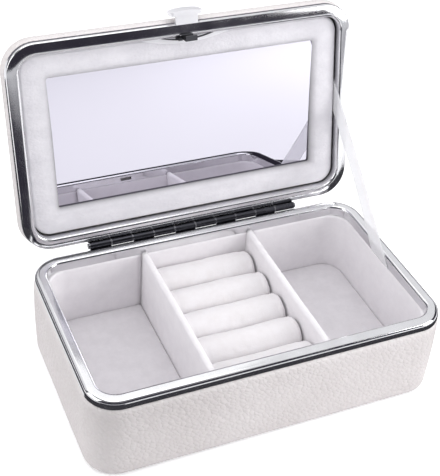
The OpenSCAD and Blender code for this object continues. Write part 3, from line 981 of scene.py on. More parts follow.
@dataclass(frozen=True)
class Silvered(Finish):
    """Silvered mirror glass."""

    drift: float = 0.985
    patch: float = 60 * MM

    def wire(self, w: Wiring, shader: bpy.types.Node) -> None:
        """Clean metal reflection, with a barely uneven tint.

        Args:
            w: wiring of the material.
            shader: the material's shader.
        """
        place = self.place(w)
        shader.inputs["Metallic"].default_value = 1.0
        colour = self.mottled(w, place, tuple(c * self.drift for c in self.colour), self.patch)
        w.link(colour, shader, "Base Color")


@dataclass(frozen=True)
class Organza(Finish):
    """Sheer woven ribbon with firmer edges."""

    cover: float = 0.5
    edge_cover: float = 0.66
    thread_gain: float = 0.16
    gap_loss: float = 0.1
    gap_shade: float = 0.94
    sheen: float = 0.4

    def wire(self, w: Wiring, shader: bpy.types.Node) -> None:
        """Thread cover in alpha, from the ribbon's own along and across shares.

        Args:
            w: wiring of the material.
            shader: the material's shader.
        """
        across = w.add("ShaderNodeAttribute", attribute_name="share_v").outputs["Fac"]
        along = w.add("ShaderNodeAttribute", attribute_name="share_u").outputs["Fac"]
        cloth = w.group(EFFECTS.weave, {"Across": across, "Along": along})
        open_cover, firmer = self.cover - self.gap_loss, self.edge_cover - self.cover
        thread = w.math("MULTIPLY_ADD", cloth.outputs["Cover"], self.thread_gain, open_cover)
        alpha = w.math("MULTIPLY_ADD", cloth.outputs["Edge"], firmer, thread, clamp=True)
        w.link(alpha, shader, "Alpha")
        shaded = (*[c * self.gap_shade for c in self.colour], 1)
        tone = w.mix(cloth.outputs["Cover"], shaded, (*self.colour, 1))
        w.link(tone, shader, "Base Color")
        shader.inputs["Sheen Weight"].default_value = self.sheen


@dataclass(frozen=True)
class Board(Finish):
    """Raw fibreboard or felted paper."""

    second: tuple[float, float, float] = (0.5, 0.42, 0.32)
    fibres_per_m: float = 1400.0
    depth: float = 0.05 * MM
    relief: float = 0.5

    def wire(self, w: Wiring, shader: bpy.types.Node) -> None:
        """Fibres in tone and bump.

        Args:
            w: wiring of the material.
            shader: the material's shader.
        """
        place = self.place(w)
        felt = {"Vector": place, "Scale": self.fibres_per_m, "Detail": 5.0}
        fibres = w.add("ShaderNodeTexNoise", felt)
        colour = w.mix(fibres.outputs["Fac"], (*self.colour, 1), (*self.second, 1))
        w.link(colour, shader, "Base Color")
        self.bump(w, shader, fibres.outputs["Fac"], self.depth, self.relief)


LEATHER = Leather(
    "leather",
    (0.69, 0.65, 0.645),
    0.42,
    second=(0.65, 0.608, 0.602),
    cell=1.9 * MM,
    depth=0.42 * MM,
    crease_shade_share=0.06,
)
# Painted shade: the floor, lid and roll velvets are darker copies of the wall velvet, each toned for the
# light that reaches its place.
VELVET = Velvet("velvet", (0.835, 0.812, 0.832), 1.0, second=(0.795, 0.77, 0.793))
VELVET_FLOOR_SHADED = Velvet("velvet_floor", (0.72, 0.697, 0.72), 1.0, second=(0.67, 0.648, 0.67))
VELVET_LID_SHADED = Velvet(
    "velvet_lid",
    (0.765, 0.748, 0.782),
    1.0,
    second=(0.69, 0.674, 0.71),
    stretch=(0.5, 0.8, 0.8),
    tuft=0.8 * MM,
    depth=0.3 * MM,
)
VELVET_ROLL_SHADED = Velvet("velvet_roll", (0.77, 0.747, 0.762), 1.0, second=(0.735, 0.708, 0.717))
CHROME = Pressed("chrome", (0.8, 0.8, 0.815), 0.08, dull=0.17, crown=0.11 * MM)
LID_CHROME = Pressed("lid_chrome", (0.8, 0.8, 0.815), 0.08, dull=0.17, crown=0.05 * MM, opened=True)
SATIN = Plated("satin_metal", (0.9, 0.895, 0.92), 0.28, dull=0.4, metallic=0.35)
# The hinge metal is dark metal whose near-black is partly painted shade of the gap the hinge sits in.
HINGE_METAL = Knuckled("hinge_metal", (0.06, 0.06, 0.07), 0.16, dull=0.34)
RIVET_METAL = Plated("rivet_metal", (0.5, 0.5, 0.52), 0.16, dull=0.34)
SPRING_STEEL = Plated("spring_steel", (0.1, 0.1, 0.11), 0.3, dull=0.45)
MIRROR = Silvered("mirror", (0.665, 0.647, 0.718), 0.01)
ORGANZA = Organza("organza", (0.96, 0.96, 0.975), 0.6)
BOARD = Board("board", (0.52, 0.505, 0.49), 0.9, second=(0.43, 0.415, 0.4))
SHEET = Board("base_sheet", (0.72, 0.68, 0.65), 0.95, second=(0.62, 0.58, 0.55))


def dress(obj: bpy.types.Object, finish: Finish) -> bpy.types.Object:
    """Gives an object one finish on all its faces.

    Args:
        obj: a new piece or a construction node.
        finish: its finish.

    Returns:
        The same object.
    """
    material = finish.build()
    if not obj.data.materials:
        obj.data.materials.append(material)
    for slot in obj.material_slots:
        slot.material = material
    return obj


def place_piece(
    obj: bpy.types.Object, body: str, slot: str, finish: Finish, *nodes: str
) -> bpy.types.Object:
    """Dresses a new piece, puts it on its body and lets it stand for construction nodes.

    Args:
        obj: the new piece.
        body: the body it moves with.
        slot: the record's material slot that it fills; not used.
        finish: its finish.
        *nodes: the construction nodes it stands for.

    Returns:
        The same object.
    """
    dress(obj, finish)
    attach(obj, body)
    if nodes:
        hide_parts(*nodes)
    LOG.info("%s rides on %s", obj.name, body)
    return obj


# ------------------------------------------------------------------ sub-assemblies

@dataclass
class LeatherShells:
    """The leather of the base and of the lid."""

    skin: float = 0.8 * MM
    hem_round: float = 2.1 * MM
    hem_fade: float = 1.5 * MM
    bulge: float = 0.3 * MM
    turn_in: float = 10 * MM
    dome: float = 0.5 * MM
    lid_hem: float = 4.2 * MM
    under_share: float = 0.9
    uneven: float = 0.09 * MM
    uneven_length: float = 47 * MM

    def _loop(self) -> Rails:
        """Path round the case."""
        return Rails.loop(CASE.half_w, CASE.half_d, CASE.corner)

    def _wall(self, out: float, z0: float, z1: float, steps: int) -> np.ndarray:
        """Upright part of the section, bowed outwards by a half sine wave."""
        share = np.linspace(0, 1, steps + 1)[1:-1]
        return np.stack([out + self.bulge * np.sin(np.pi * share), z0 + share * (z1 - z0)], axis=-1)

    def base(self) -> bpy.types.Object:
        """Base cover: hem under the frame, bowed wall, round bottom edge and turn-in.

        The section runs down the outside and back up the inside, and is carried round the case.

        Returns:
            The object, still undressed.
        """
        out = CASE.corner + CASE.cover_x - CASE.half_w
        top, foot, edge = CASE.cover_top_z, CASE.cover_foot_z, CASE.bottom_r
        inner = out - 2 * self.skin
        section = np.concatenate([
            [[inner, top - self.hem_round]],
            arc(out - self.hem_round, top - self.hem_round, self.hem_round, 100, 0, 6),
            self._wall(out, top - self.hem_round, foot + edge, 16),
            arc(out - edge, foot + edge, edge, 0, -90, 8),
            [[out - self.turn_in, foot]],
            [[out - self.turn_in, foot + self.skin]],
            [[inner, foot + self.skin]],
        ])
        grid = self._loop().points(section[:, 0], section[:, 1])
        grid[..., :2] += self._swell(grid)
        marks = {"hem": self._hem(top - grid[..., 2])}
        return Mesh.from_grid("base_leather", grid, True, True, marks=marks)

    def _hem(self, away: np.ndarray) -> np.ndarray:
        """Nearness to the metal, which masks the leather's painted highlight along the hem: one at the hem,
        falling with the exponential of the distance.
        """
        return np.exp(-np.maximum(away, 0) / self.hem_fade)

    def _swell(self, grid: np.ndarray) -> np.ndarray:
        """Slight unevenness of the padding, in and out along the case's directions."""
        size = wobble(grid, self.uneven, self.uneven_length, 1.3)
        return size[..., None] * self._loop().directions[None]

    def lid(self) -> bpy.types.Object:
        """Lid cover: hem, low wall, round top edge and a barely crowned top, closed underneath.

        The section goes up the wall, over the edge and in to the middle of the top, where the
        path's centres shrink to a point, and comes back one skin lower.

        Returns:
            The object, still undressed.
        """
        out = CASE.corner + CASE.cover_x - CASE.half_w
        hem = CASE.lid_z + self.lid_hem
        top, edge = CASE.lid_z + CASE.lid_h, CASE.top_r
        shrink = np.linspace(1, 0, 16)
        rise = self.dome * (1 - shrink**2)
        rim = np.concatenate([
            arc(out - self.hem_round, hem + self.hem_round, self.hem_round, -100, 0, 6),
            self._wall(out, hem + self.hem_round, top - edge, 5),
            arc(out - edge, top - edge, edge, 0, 90, 10),
        ])
        flat = (out - edge) * shrink
        outer_r = np.concatenate([rim[:, 0], flat[1:]])
        outer_z = np.concatenate([rim[:, 1], top + rise[1:]])
        outer_k = np.concatenate([np.ones(len(rim)), shrink[1:]])
        inner_r = np.concatenate([flat[::-1] * self.under_share, [out - 2 * self.skin] * 2])
        inner_z = np.concatenate([top + rise[::-1] - self.skin, [top - edge, hem + self.hem_round]])
        inner_k = np.concatenate([shrink[::-1], [1, 1]])
        grid = self._loop().points(
            np.concatenate([outer_r, inner_r]),
            np.concatenate([outer_z, inner_z]),
            np.concatenate([outer_k, inner_k]),
        )
        marks = {"hem": self._hem(grid[..., 2] - hem)}
        return Mesh.from_grid("lid_leather", open_lid(grid), True, True, marks=marks)

    def build(self) -> None:
        """Builds and places both covers."""
        place_piece(self.base(), "base", "leather", LEATHER, "base_leather_cover")
        place_piece(self.lid(), "lid", "leather", LEATHER, "lid_leather_cover")


@dataclass
class Lining:
    """Padded wall lining, floor pads and dividers of the base."""

    bow: float = 0.35 * MM
    top_round: float = 0.9 * MM
    pad_edge: float = 1.1 * MM
    crown: float = 0.35 * MM
    depth: float = 1.9 * MM
    soft_gap: float = 0.1 * MM
    divider_corner: float = 1.5 * MM
    lean: float = 0.18 * MM
    lean_length: float = 61 * MM
    sag: float = 0.12 * MM
    sag_length: float = 39 * MM

    def _section(self, face: float, back: float, z0: float, z1: float) -> np.ndarray:
        """Section of a wall's padding: bowed face, round top edge and flat back.

        Args:
            face: how far out the face lies.
            back: how far out the back lies.
            z0: lowest level.
            z1: highest level.

        Returns:
            The closed section, as an (n, 2) array.
        """
        share = np.linspace(0, 1, 15)
        height = z0 + share * (z1 - z0 - self.top_round)
        bowed = np.stack([face - self.bow * np.sin(np.pi * share), height], axis=-1)
        top = arc(face + self.top_round, z1 - self.top_round, self.top_round, 180, 90, 6)[1:]
        return np.concatenate([bowed, top, [[back, z1]], [[back, z0]]])

    def wall(self, name: str, rails: Rails) -> bpy.types.Object:
        """One band of lining, its section carried along rails and closed at both ends.

        Args:
            name: the piece's name.
            rails: path along the wall.

        Returns:
            The object, still undressed.
        """
        face = CASE.lining_corner
        section = self._section(face, face + self.depth, CASE.lining_foot_z, CASE.lining_top_z)
        grid = rails.points(section[:, 0], section[:, 1])
        return Mesh.from_grid(name, grid, False, True, caps=True)

    def end_rails(self, node: str, side: int) -> Rails:
        """Path round the far end of the case, from one divider face back to it.

        Args:
            node: the construction's lining.
            side: -1 for the left end, 1 for the right.

        Returns:
            The path along the inside of the wall.
        """
        x = CASE.bay_x + self.soft_gap - CASE.lining_corner
        y = CASE.bay_y + self.soft_gap - CASE.lining_corner
        inner = float(low(node)[0] if side > 0 else high(node)[0])
        first, second = ((x, -y, 270), (x, y, 0)) if side > 0 else ((-x, y, 90), (-x, -y, 180))
        start, end = (
            Rails(np.array([[inner, level]]), np.array([[0.0, math.copysign(1, level)]]))
            for level in (first[1], second[1])
        )
        path = start.joined(Rails.round_corner(*first, 10))
        return path.joined(Rails.round_corner(*second, 10)).joined(end)

    def straight_rails(self, node: str, side: int) -> Rails:
        """Path along the middle bay's front or rear wall.

        Args:
            node: the construction's lining.
            side: -1 for the front, 1 for the rear.

        Returns:
            The path along the inside of the wall.
        """
        x = np.linspace(low(node)[0], high(node)[0], 20)
        y = np.full_like(x, side * (CASE.bay_y + self.soft_gap - CASE.lining_corner))
        return Rails(np.stack([x, y], axis=-1), np.tile([0.0, float(side)], (len(x), 1)))

    def pad(self, name: str, node: str, side: int) -> bpy.types.Object:
        """Floor pad: a crowned pillow whose rim follows the bay.

        Rows go from the middle of the underside out to the rim, up a round edge and back to the
        middle, each row the rim's outline drawn in or shrunk about the pad's middle.

        Args:
            name: the piece's name.
            node: the construction's pad.
            side: -1 for the left bay, 1 for the right.

        Returns:
            The object, still undressed.
        """
        x0, x1 = float(low(node)[0]), float(high(node)[0])
        radii = [self.divider_corner, CASE.lining_corner - self.soft_gap][::side]
        rim = self._rim(x0, x1, CASE.bay_y, radii)
        middle = np.array([(x0 + x1) / 2, 0.0])
        z0, z1 = float(low(node)[2]), float(high(node)[2])
        edge = arc(-self.pad_edge, z1 - self.pad_edge, self.pad_edge, 0, 90, 6)
        rows = [[0, z0, k] for k in np.linspace(0, 1, 4)]
        rows += [[inset, z, 1] for inset, z in edge]
        rows += [[-self.pad_edge, z1 + self.crown * (1 - k**2), k] for k in np.linspace(1, 0, 14)[1:]]
        table = np.array(rows)
        outline = rim.centres + rim.directions * self._radius(rim, radii, x0, x1)[:, None]
        drawn = outline[None] + table[:, 0, None, None] * rim.directions[None]
        flat = middle + table[:, 2, None, None] * (drawn - middle)
        return Mesh.from_grid(name, raised(flat, table[:, 1]), True, False)

    @staticmethod
    def _rim(x0: float, x1: float, half_y: float, radii: list[float]) -> Rails:
        """Closed outline of a bay, with its own corner radius at the low-x and high-x ends.

        Args:
            x0: low-x end.
            x1: high-x end.
            half_y: half the bay's depth.
            radii: corner radius at the low-x and at the high-x end.

        Returns:
            The path of the outline.
        """
        low_r, high_r = radii
        corners = [
            (x1 - high_r, half_y - high_r, 0),
            (x0 + low_r, half_y - low_r, 90),
            (x0 + low_r, -half_y + low_r, 180),
            (x1 - high_r, -half_y + high_r, 270),
        ]
        path = Rails.round_corner(*corners[0], 9)
        for corner in corners[1:]:
            path = path.joined(Rails.round_corner(*corner, 9))
        return path

    @staticmethod
    def _radius(rim: Rails, radii: list[float], x0: float, x1: float) -> np.ndarray:
        """Corner radius at each point of the rim, which changes evenly along the long straights."""
        share = (rim.centres[:, 0] - (x0 + radii[0])) / (x1 - radii[1] - x0 - radii[0])
        return radii[0] + np.clip(share, 0, 1) * (radii[1] - radii[0])

    def divider(self, name: str, node: str, seed: float) -> bpy.types.Object:
        """Padded divider: a section with a fully round top, carried from front to back.

        Args:
            name: the piece's name.
            node: the construction's divider.
            seed: shifts its unevenness.

        Returns:
            The object, still undressed.
        """
        a, b = low(node), high(node)
        half = (b[0] - a[0]) / 2
        share = np.linspace(0, 1, 14)
        height = b[2] - half - a[2]
        side = np.stack([half + 0 * share, a[2] + share * height], axis=-1)
        top = arc(0, b[2] - half, half, 0, 180, 14)[1:-1]
        section = np.concatenate([side, top, side[::-1] * [-1, 1]])
        y = np.linspace(a[1], b[1], 34)
        x = (a[0] + b[0]) / 2 + section[:, 0]
        grid = grid_of(x[:, None], y[None], section[:, 1][:, None])
        rise = (grid[..., 2] - a[2]) / (b[2] - a[2])
        grid[..., 0] += rise * wobble(grid, self.lean, self.lean_length, seed)
        grid[..., 2] -= rise * (self.sag + wobble(grid, self.sag, self.sag_length, seed + 1))
        return Mesh.from_grid(name, grid, False, True, caps=True)

    def build(self) -> None:
        """Builds and places lining, pads and dividers."""
        for side, label in ((-1, "left"), (1, "right")):
            wall = self.wall("velvet_wall_" + label, self.end_rails("lining_" + label, side))
            self._place(wall, VELVET, "lining_" + label, 0.7)
            pad = self.pad("velvet_floor_" + label, "floor_pad_" + label, side)
            self._place(pad, VELVET_FLOOR_SHADED, "floor_pad_" + label, 0.6)
            divider = self.divider("velvet_divider_" + label, "divider_" + label, side)
            self._place(divider, VELVET, "divider_" + label, 0.8)
        for side, label in ((-1, "front"), (1, "rear")):
            wall = self.wall("velvet_wall_" + label, self.straight_rails("lining_" + label, side))
            self._place(wall, VELVET, "lining_" + label, 0.7)

    @staticmethod
    def _place(obj: bpy.types.Object, finish: Finish, node: str, fill: float) -> None:
        """Places a piece of velvet padding on the base."""
        place_piece(obj, "base", "velvet", finish, node)


@dataclass
class RingRolls:
    """The padded rolls that rings are pushed between."""

    count: int = 5
    end_round: float = 3.2 * MM
    slack: float = 0.35 * MM
    end_columns: int = 9
    run_columns: int = 28
    uneven: float = 0.16 * MM
    uneven_length: float = 34 * MM
    stuffing: Stuffing = field(default_factory=lambda: Stuffing(voxel=1.1 * MM, cap=0.45 * MM))

    def roll(self, index: int) -> bpy.types.Object:
        """One roll: a half-round top on straight sides, with ends drawn in by a quarter circle.

        Columns run along the roll and rows round its section. An end's columns follow a quarter
        circle: the way from the tip is the end's reach times one less the sine of a turn, and
        the section is drawn in on all sides by the reach times one less the turn's cosine. The
        straight run meets each end at its tip, by a cone that lies inside the round end, and
        stuffing remeshes the roll from the outer of the two.

        Args:
            index: number of the roll, from one.

        Returns:
            The object, still undressed.
        """
        a, b = low(f"ring_roll_{index}"), high(f"ring_roll_{index}")
        half = (b[1] - a[1]) / 2 - self.slack
        middle_y, axis_z = (a[1] + b[1]) / 2, b[2] - (b[1] - a[1]) / 2
        share = np.linspace(0, 1, 10)
        side = np.stack([half + 0 * share, a[2] + share * (axis_z - a[2])], axis=-1)
        crown = arc(0, axis_z, half, 0, 180, 22)[1:-1]
        base = np.stack([np.linspace(-half, half, 8)[1:-1], np.full(6, a[2])], axis=-1)
        section = np.concatenate([side, crown, side[::-1] * [-1, 1], base])
        reach = self.end_round
        turns = np.radians(np.linspace(90, 0, self.end_columns))
        left = a[0] + reach * (1 - np.sin(turns[::-1]))
        right = b[0] - reach * (1 - np.sin(turns))
        run = np.linspace(a[0] + reach, b[0] - reach, self.run_columns + 2)[1:-1]
        x = np.concatenate([left, run, right])
        drawn_in = reach * (1 - np.cos(turns))
        inset = np.concatenate([drawn_in[::-1], np.zeros(self.run_columns), drawn_in])
        middle_z = (a[2] + b[2]) / 2
        scale_y = 1 - inset / half
        scale_z = 1 - inset / ((b[2] - a[2]) / 2)
        y = middle_y + section[:, 0][:, None] * scale_y[None]
        z = middle_z + (section[:, 1] - middle_z)[:, None] * scale_z[None]
        grid = grid_of(x[None], y, z)
        grid += wobble(grid, self.uneven, self.uneven_length, 1.7 * index)[..., None]
        return Mesh.from_grid(f"velvet_roll_{index}", grid, False, True, caps=True)

    def build(self) -> None:
        """Builds and places the rolls."""
        for index in range(1, self.count + 1):
            roll = self.stuffing.swell(self.roll(index))
            place_piece(roll, "base", "roll_velvet", VELVET_ROLL_SHADED, f"ring_roll_{index}")


@dataclass
class LidPad:
    """Padded surround of the mirror."""

    window_w: float = 131.6 * MM
    window_d: float = 62.8 * MM
    outer_inset: float = 6.4 * MM
    edge: float = 1.3 * MM
    bevel: float = 3.4 * MM
    seam_fade: float = 1.3 * MM
    face: float = 3.9 * MM
    mirror: float = 6.2 * MM
    window_corner: float = 0.8 * MM
    crown: float = 0.25 * MM
    bevel_power: float = 1.6
    mirror_gap: float = 0.15 * MM
    behind_mirror: float = 2.5 * MM
    window_wall: float = 2.4 * MM

    def pad(self) -> bpy.types.Object:
        """Surround: rows run from its outer edge to the window, then back under the face.

        Each row is a blend of the outer outline and the window's outline; its depth follows a
        round outer edge, a low crown and a bevel that drops to the mirror.

        Returns:
            The object, still undressed.
        """
        corner = CASE.corner - self.outer_inset
        half_w, half_d = CASE.half_w - self.outer_inset, CASE.half_d - self.outer_inset
        rails = Rails.loop(half_w, half_d, corner)
        outer = rails.centres + corner * rails.directions
        half = np.array([self.window_w / 2, self.window_d / 2]) - self.window_corner
        span = np.array([CASE.half_w, CASE.half_d]) - self.outer_inset - corner
        inner = rails.centres / span * half + self.window_corner * rails.directions
        width = half_w - self.window_w / 2
        rim = arc(self.edge, self.edge, self.edge, 180, 270, 8)
        crown_share = np.linspace(0, 1, 9)[1:]
        crown_x = self.edge + crown_share * (width - self.edge - self.bevel)
        crown_y = -self.crown * np.sin(np.pi * crown_share)
        bevel_share = np.linspace(0, 1, 7)[1:]
        bevel_x = width - self.bevel + bevel_share * self.bevel
        bevel_y = (self.mirror - self.face - self.mirror_gap) * (bevel_share**self.bevel_power)
        back = self.mirror + self.behind_mirror - self.face
        across = np.concatenate([[0], rim[:, 0], crown_x, bevel_x, [width]]) / width
        down = np.concatenate([[back], rim[:, 1], crown_y, bevel_y, [back - self.window_wall]])
        # Painted shade: nearness to the window's edge, where the velvet is greyed as if shadowed beside the
        # mirror.
        seam = np.exp(-(1 - np.minimum(across, 1)) * width / self.seam_fade)[:, None] * np.ones(len(outer))
        flat = outer[None] + across[:, None, None] * (inner - outer)[None]
        grid = raised(flat, CASE.lid_z + self.face + down)
        return Mesh.from_grid("velvet_lid_pad", open_lid(grid), True, True, marks={"seam": seam})

    def build(self) -> None:
        """Builds and places the surround."""
        place_piece(self.pad(), "lid", "velvet", VELVET_LID_SHADED, "lid_pad")


@dataclass
class Ribbon:
    """Sheer stay between the base and the lid."""

    thickness: float = 0.12 * MM
    bow: float = 0.8 * MM
    foot_band: float = 0.2 * MM
    rows: int = 17
    bend_y: float = 3 * MM
    bend_above: float = 5 * MM
    bend_short: float = 8 * MM

    def strip(self) -> tuple[bpy.types.Object, float, float]:
        """Thin strip between the construction ribbon's two ends, bowed outwards by a half sine.

        Returns:
            The strip, its width square to its run, and its length along the middle.
        """
        points = points_of(frame["nodes"]["stay_ribbon"].data)
        level = points[:, 2].min() + self.foot_band
        foot, head = points[points[:, 2] < level], points[points[:, 2] > level]
        foot_a, foot_b = foot[foot[:, 1].argmin()], foot[foot[:, 1].argmax()]
        head_a, head_b = head[head[:, 2].argmax()], head[head[:, 2].argmin()]
        along = np.linspace(0, 1, 60)[None, :, None]
        across = np.linspace(0, 1, self.rows)[:, None, None]
        front = foot_a + along * (head_a - foot_a)
        back = foot_b + along * (head_b - foot_b)
        sheet = front + across * (back - front)
        sheet[..., 0] = points[:, 0].mean() + self.bow * np.sin(np.pi * along[..., 0])
        near, far = sheet.copy(), sheet[::-1].copy()
        near[..., 0] -= self.thickness / 2
        far[..., 0] += self.thickness / 2
        grid = np.concatenate([near, far])
        strip = Mesh.from_grid("organza_stay", grid, False, True, caps=True)
        length = float(np.linalg.norm(np.diff(sheet[self.rows // 2], axis=0), axis=1).sum())
        lean = (head_a + head_b - foot_a - foot_b) / 2
        area = np.linalg.norm(np.cross(foot_b - foot_a + head_b - head_a, lean)) / 2
        return strip, float(area / np.linalg.norm(lean)), length

    def build(self) -> None:
        """Builds and dresses the ribbon, in place of the construction's ribbon."""
        strip, width, length = self.strip()
        dress(strip, ORGANZA)
        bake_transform(strip)
        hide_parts("stay_ribbon")
        LOG.info("organza_stay bends between base and lid, %.1f by %.1f mm", width / MM, length / MM)


@dataclass
class LidFrame:
    """Channel frame of the lid, its face pressed back towards the outer edge.

    bend is the radius of the channel's inner bend, where the fall starts. The fall grows with
    the way outward: lean is its slope at the start and curl what the slope gains per metre.
    """

    bend: float = 1.4 * MM
    lean: float = 0.17
    curl: float = 26.0
    crease_deg: float = 35.0

    def build(self) -> None:
        """Copies the construction mesh and planes the outer part of its face down.

        A point's way outward is its distance from the rectangle of corner centres, less that of
        the inner bend. On the shut lid, whose face looks down, a point is raised at least to the
        face's level plus lean times the way plus half the curl times the way's square.
        """
        mesh = frame["nodes"]["lid_frame"].data.copy()
        shut = shut_lid(points_of(mesh))
        span = np.array([CASE.half_w, CASE.half_d]) - CASE.corner
        reach = np.linalg.norm(np.maximum(np.abs(shut[:, :2]) - span, 0), axis=1)
        way = np.maximum(reach - (CASE.corner - CASE.lip_w + self.bend), 0)
        fall = self.lean * way + self.curl * way**2 / 2
        shut[:, 2] = np.maximum(shut[:, 2], shut[:, 2].min() + fall)
        mesh.vertices.foreach_set("co", open_lid(shut).ravel())
        mesh.attributes.remove(mesh.attributes["custom_normal"])
        channel = bpy.data.objects.new("lid_channel", mesh)
        bpy.context.scene.collection.objects.link(channel)
        Mesh.tidy(channel)
        channel.data.set_sharp_from_angle(angle=math.radians(self.crease_deg))
        place_piece(channel, "lid", "bright_metal", LID_CHROME, "lid_frame")
        LOG.info("lid_channel's face falls %.2f mm", float(fall.max()) / MM)


@dataclass
class LeafSpring:
    """Bowed strip that pushes the clasp's hook back against the frame.

    Its ends bear on the frame and its middle on the hook, so it bows further when the button is pressed.
    """

    thickness: float = 0.35 * MM
    edge: float = 0.1 * MM
    follow_from: float = 0.05
    follow_whole: float = 0.8

    def strip(self) -> tuple[bpy.types.Object, np.ndarray, np.ndarray]:
        """Arc of a circle through both ends and the apex, as a strip with eased edges.

        Columns run along the arc. Rows go round the section; each row lies on the outer or the
        inner circle, and its half angle is the one at which that circle meets the frame.

        Returns:
            The strip, the middle of the line through its ends, and its apex, on the open lid.
        """
        points = shut_lid(points_of(frame["nodes"]["clasp_leaf_spring"].data))
        a, b = points.min(axis=0), points.max(axis=0)
        half, bow = (b[0] - a[0]) / 2, b[1] - a[1]
        radius = (half**2 + bow**2) / (2 * bow)
        centre_y = b[1] - radius
        t, e = self.thickness, self.edge
        ring = np.array([
            [0, a[2] + e], [0, b[2] - e], [e, b[2]], [t - e, b[2]],
            [t, b[2] - e], [t, a[2] + e], [t - e, a[2]], [e, a[2]],
        ])
        reach = radius - ring[:, 0]
        limit = np.arccos(np.clip((radius - bow) / reach, -1, 1))
        angle = limit[:, None] * np.linspace(-1, 1, 61)[None]
        x = (a[0] + b[0]) / 2 + reach[:, None] * np.sin(angle)
        y = centre_y + reach[:, None] * np.cos(angle)
        bowed = open_lid(grid_of(x, y, ring[:, 1][:, None]))
        strip = Mesh.from_grid("leaf_spring", bowed, False, True, caps=True)
        middle = np.array([(a[0] + b[0]) / 2, a[1], (a[2] + b[2]) / 2])
        return strip, open_lid(middle), open_lid(middle + [0, bow, 0])

    def build(self) -> None:
        """Builds and dresses the spring, in place of the construction's spring."""
        strip, foot, apex = self.strip()
        dress(strip, SPRING_STEEL)
        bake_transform(strip)
        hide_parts("clasp_leaf_spring")
        LOG.info("leaf_spring bows between lid and clasp")


class MetalWork:
    """Finishes of the pieces that keep their construction mesh."""

    FINISHES = {
        "base_frame": CHROME,
        "clasp_button": SATIN,
        "clasp_guard_plate": SATIN,
        "clasp_hook": SPRING_STEEL,
        "hinge_leaf_base": HINGE_METAL,
        "hinge_leaf_lid": HINGE_METAL,
        "hinge_pin": HINGE_METAL,
        "hinge_rivets_base": RIVET_METAL,
        "hinge_rivets_lid": RIVET_METAL,
        "mirror_glass": MIRROR,
        "mirror_backing": BOARD,
        "base_carcass": BOARD,
        "lid_carcass": BOARD,
        "ring_tray_board": BOARD,
        "base_bottom_sheet": SHEET,
    }

    def build(self) -> None:
        """Dresses each kept node."""
        for node, finish in self.FINISHES.items():
            dress(frame["nodes"][node], finish)
            LOG.info("%s keeps its mesh", node)


# ------------------------------------------------------------------ studio

Colour = tuple[float, float, float]
INK, SMOKE = (0.034, 0.031, 0.044), (0.05, 0.049, 0.056)
DUSK, MIST = (0.16, 0.155, 0.18), (0.2, 0.2, 0.21)
SLATE, DOVE = (0.4, 0.395, 0.42), (0.66, 0.66, 0.69)
HAZE, PALE = (0.92, 0.92, 0.94), (1.27, 1.27, 1.28)


@dataclass(frozen=True)
class Lamp:
    """Soft rectangular lamp: its place, what it looks at, its size and its power in watts."""

    name: str
    place: tuple[float, float, float]
    target: tuple[float, float, float]
    size: float
    power: float


@dataclass(frozen=True)
class Band:
    """Upright card bent round the object.

    azimuths are its first and last direction, in degrees from +X towards +Y, and levels its
    lowest and highest edge, in degrees above the horizon.
    """

    name: str
    azimuths: tuple[float, float]
    levels: tuple[float, float]
    glow: Colour


@dataclass(frozen=True)
class Flat:
    """Card that lies level, at a height over the floor."""

    name: str
    outline: tuple[tuple[float, float], ...]
    level: float
    glow: Colour


LAMPS = (
    Lamp("overhead", (0.0, 0.1, 0.9), (0.0, 0.0, 0.05), 0.9, 3.2),
    Lamp("right_key", (0.72, -0.55, 0.4), (0.03, 0.0, 0.04), 0.5, 4.3),
    Lamp("left_fill", (-0.9, 0.0, 0.5), (0.0, 0.0, 0.04), 0.7, 2.8),
)
BANDS = (
    Band("room_front", (150, 390), (-12, 7), DOVE),
    Band("room_dark", (150, 390), (7, 38), INK),
    Band("room_top", (150, 390), (38, 66), MIST),
    Band("room_back", (30, 150), (-2, 16), DUSK),
    Band("sky_low", (30, 150), (16, 41), HAZE),
    Band("sky_right", (30, 60), (41, 56), HAZE),
    Band("sky_back", (60, 150), (41, 56), PALE),
)
SKY_Z, TABLE_Z, FOOT_Z = 0.8, 0.002, 0.001
FLATS = (
    Flat("sky_top", ((0.25, -0.6), (1.2, -0.6), (1.2, 0.5), (0.25, 0.5)), SKY_Z, HAZE),
    Flat("table_left", ((-0.9, -0.15), (-0.06, -0.15), (0.08, -1.15), (-0.9, -1.15)), TABLE_Z, INK),
    Flat("table_right", ((0.355, -0.47), (1.1, -0.47), (1.1, -0.72), (0.47, -0.72)), TABLE_Z, SLATE),
    Flat("table_front", ((-0.8, -0.72), (1.1, -0.72), (1.1, -1.3), (-0.8, -1.3)), TABLE_Z, SLATE),
    Flat("foot_front", ((-0.25, -0.2), (0.13, -0.2), (0.25, -0.07), (-0.25, -0.07)), FOOT_Z, SMOKE),
    Flat("foot_left", ((-0.25, -0.07), (-0.105, -0.07), (-0.105, 0.3), (-0.25, 0.3)), FOOT_Z, SMOKE),
    Flat("foot_right", ((0.105, -0.07), (0.25, -0.07), (0.25, 0.19), (0.105, 0.19)), FOOT_Z, SMOKE),
)


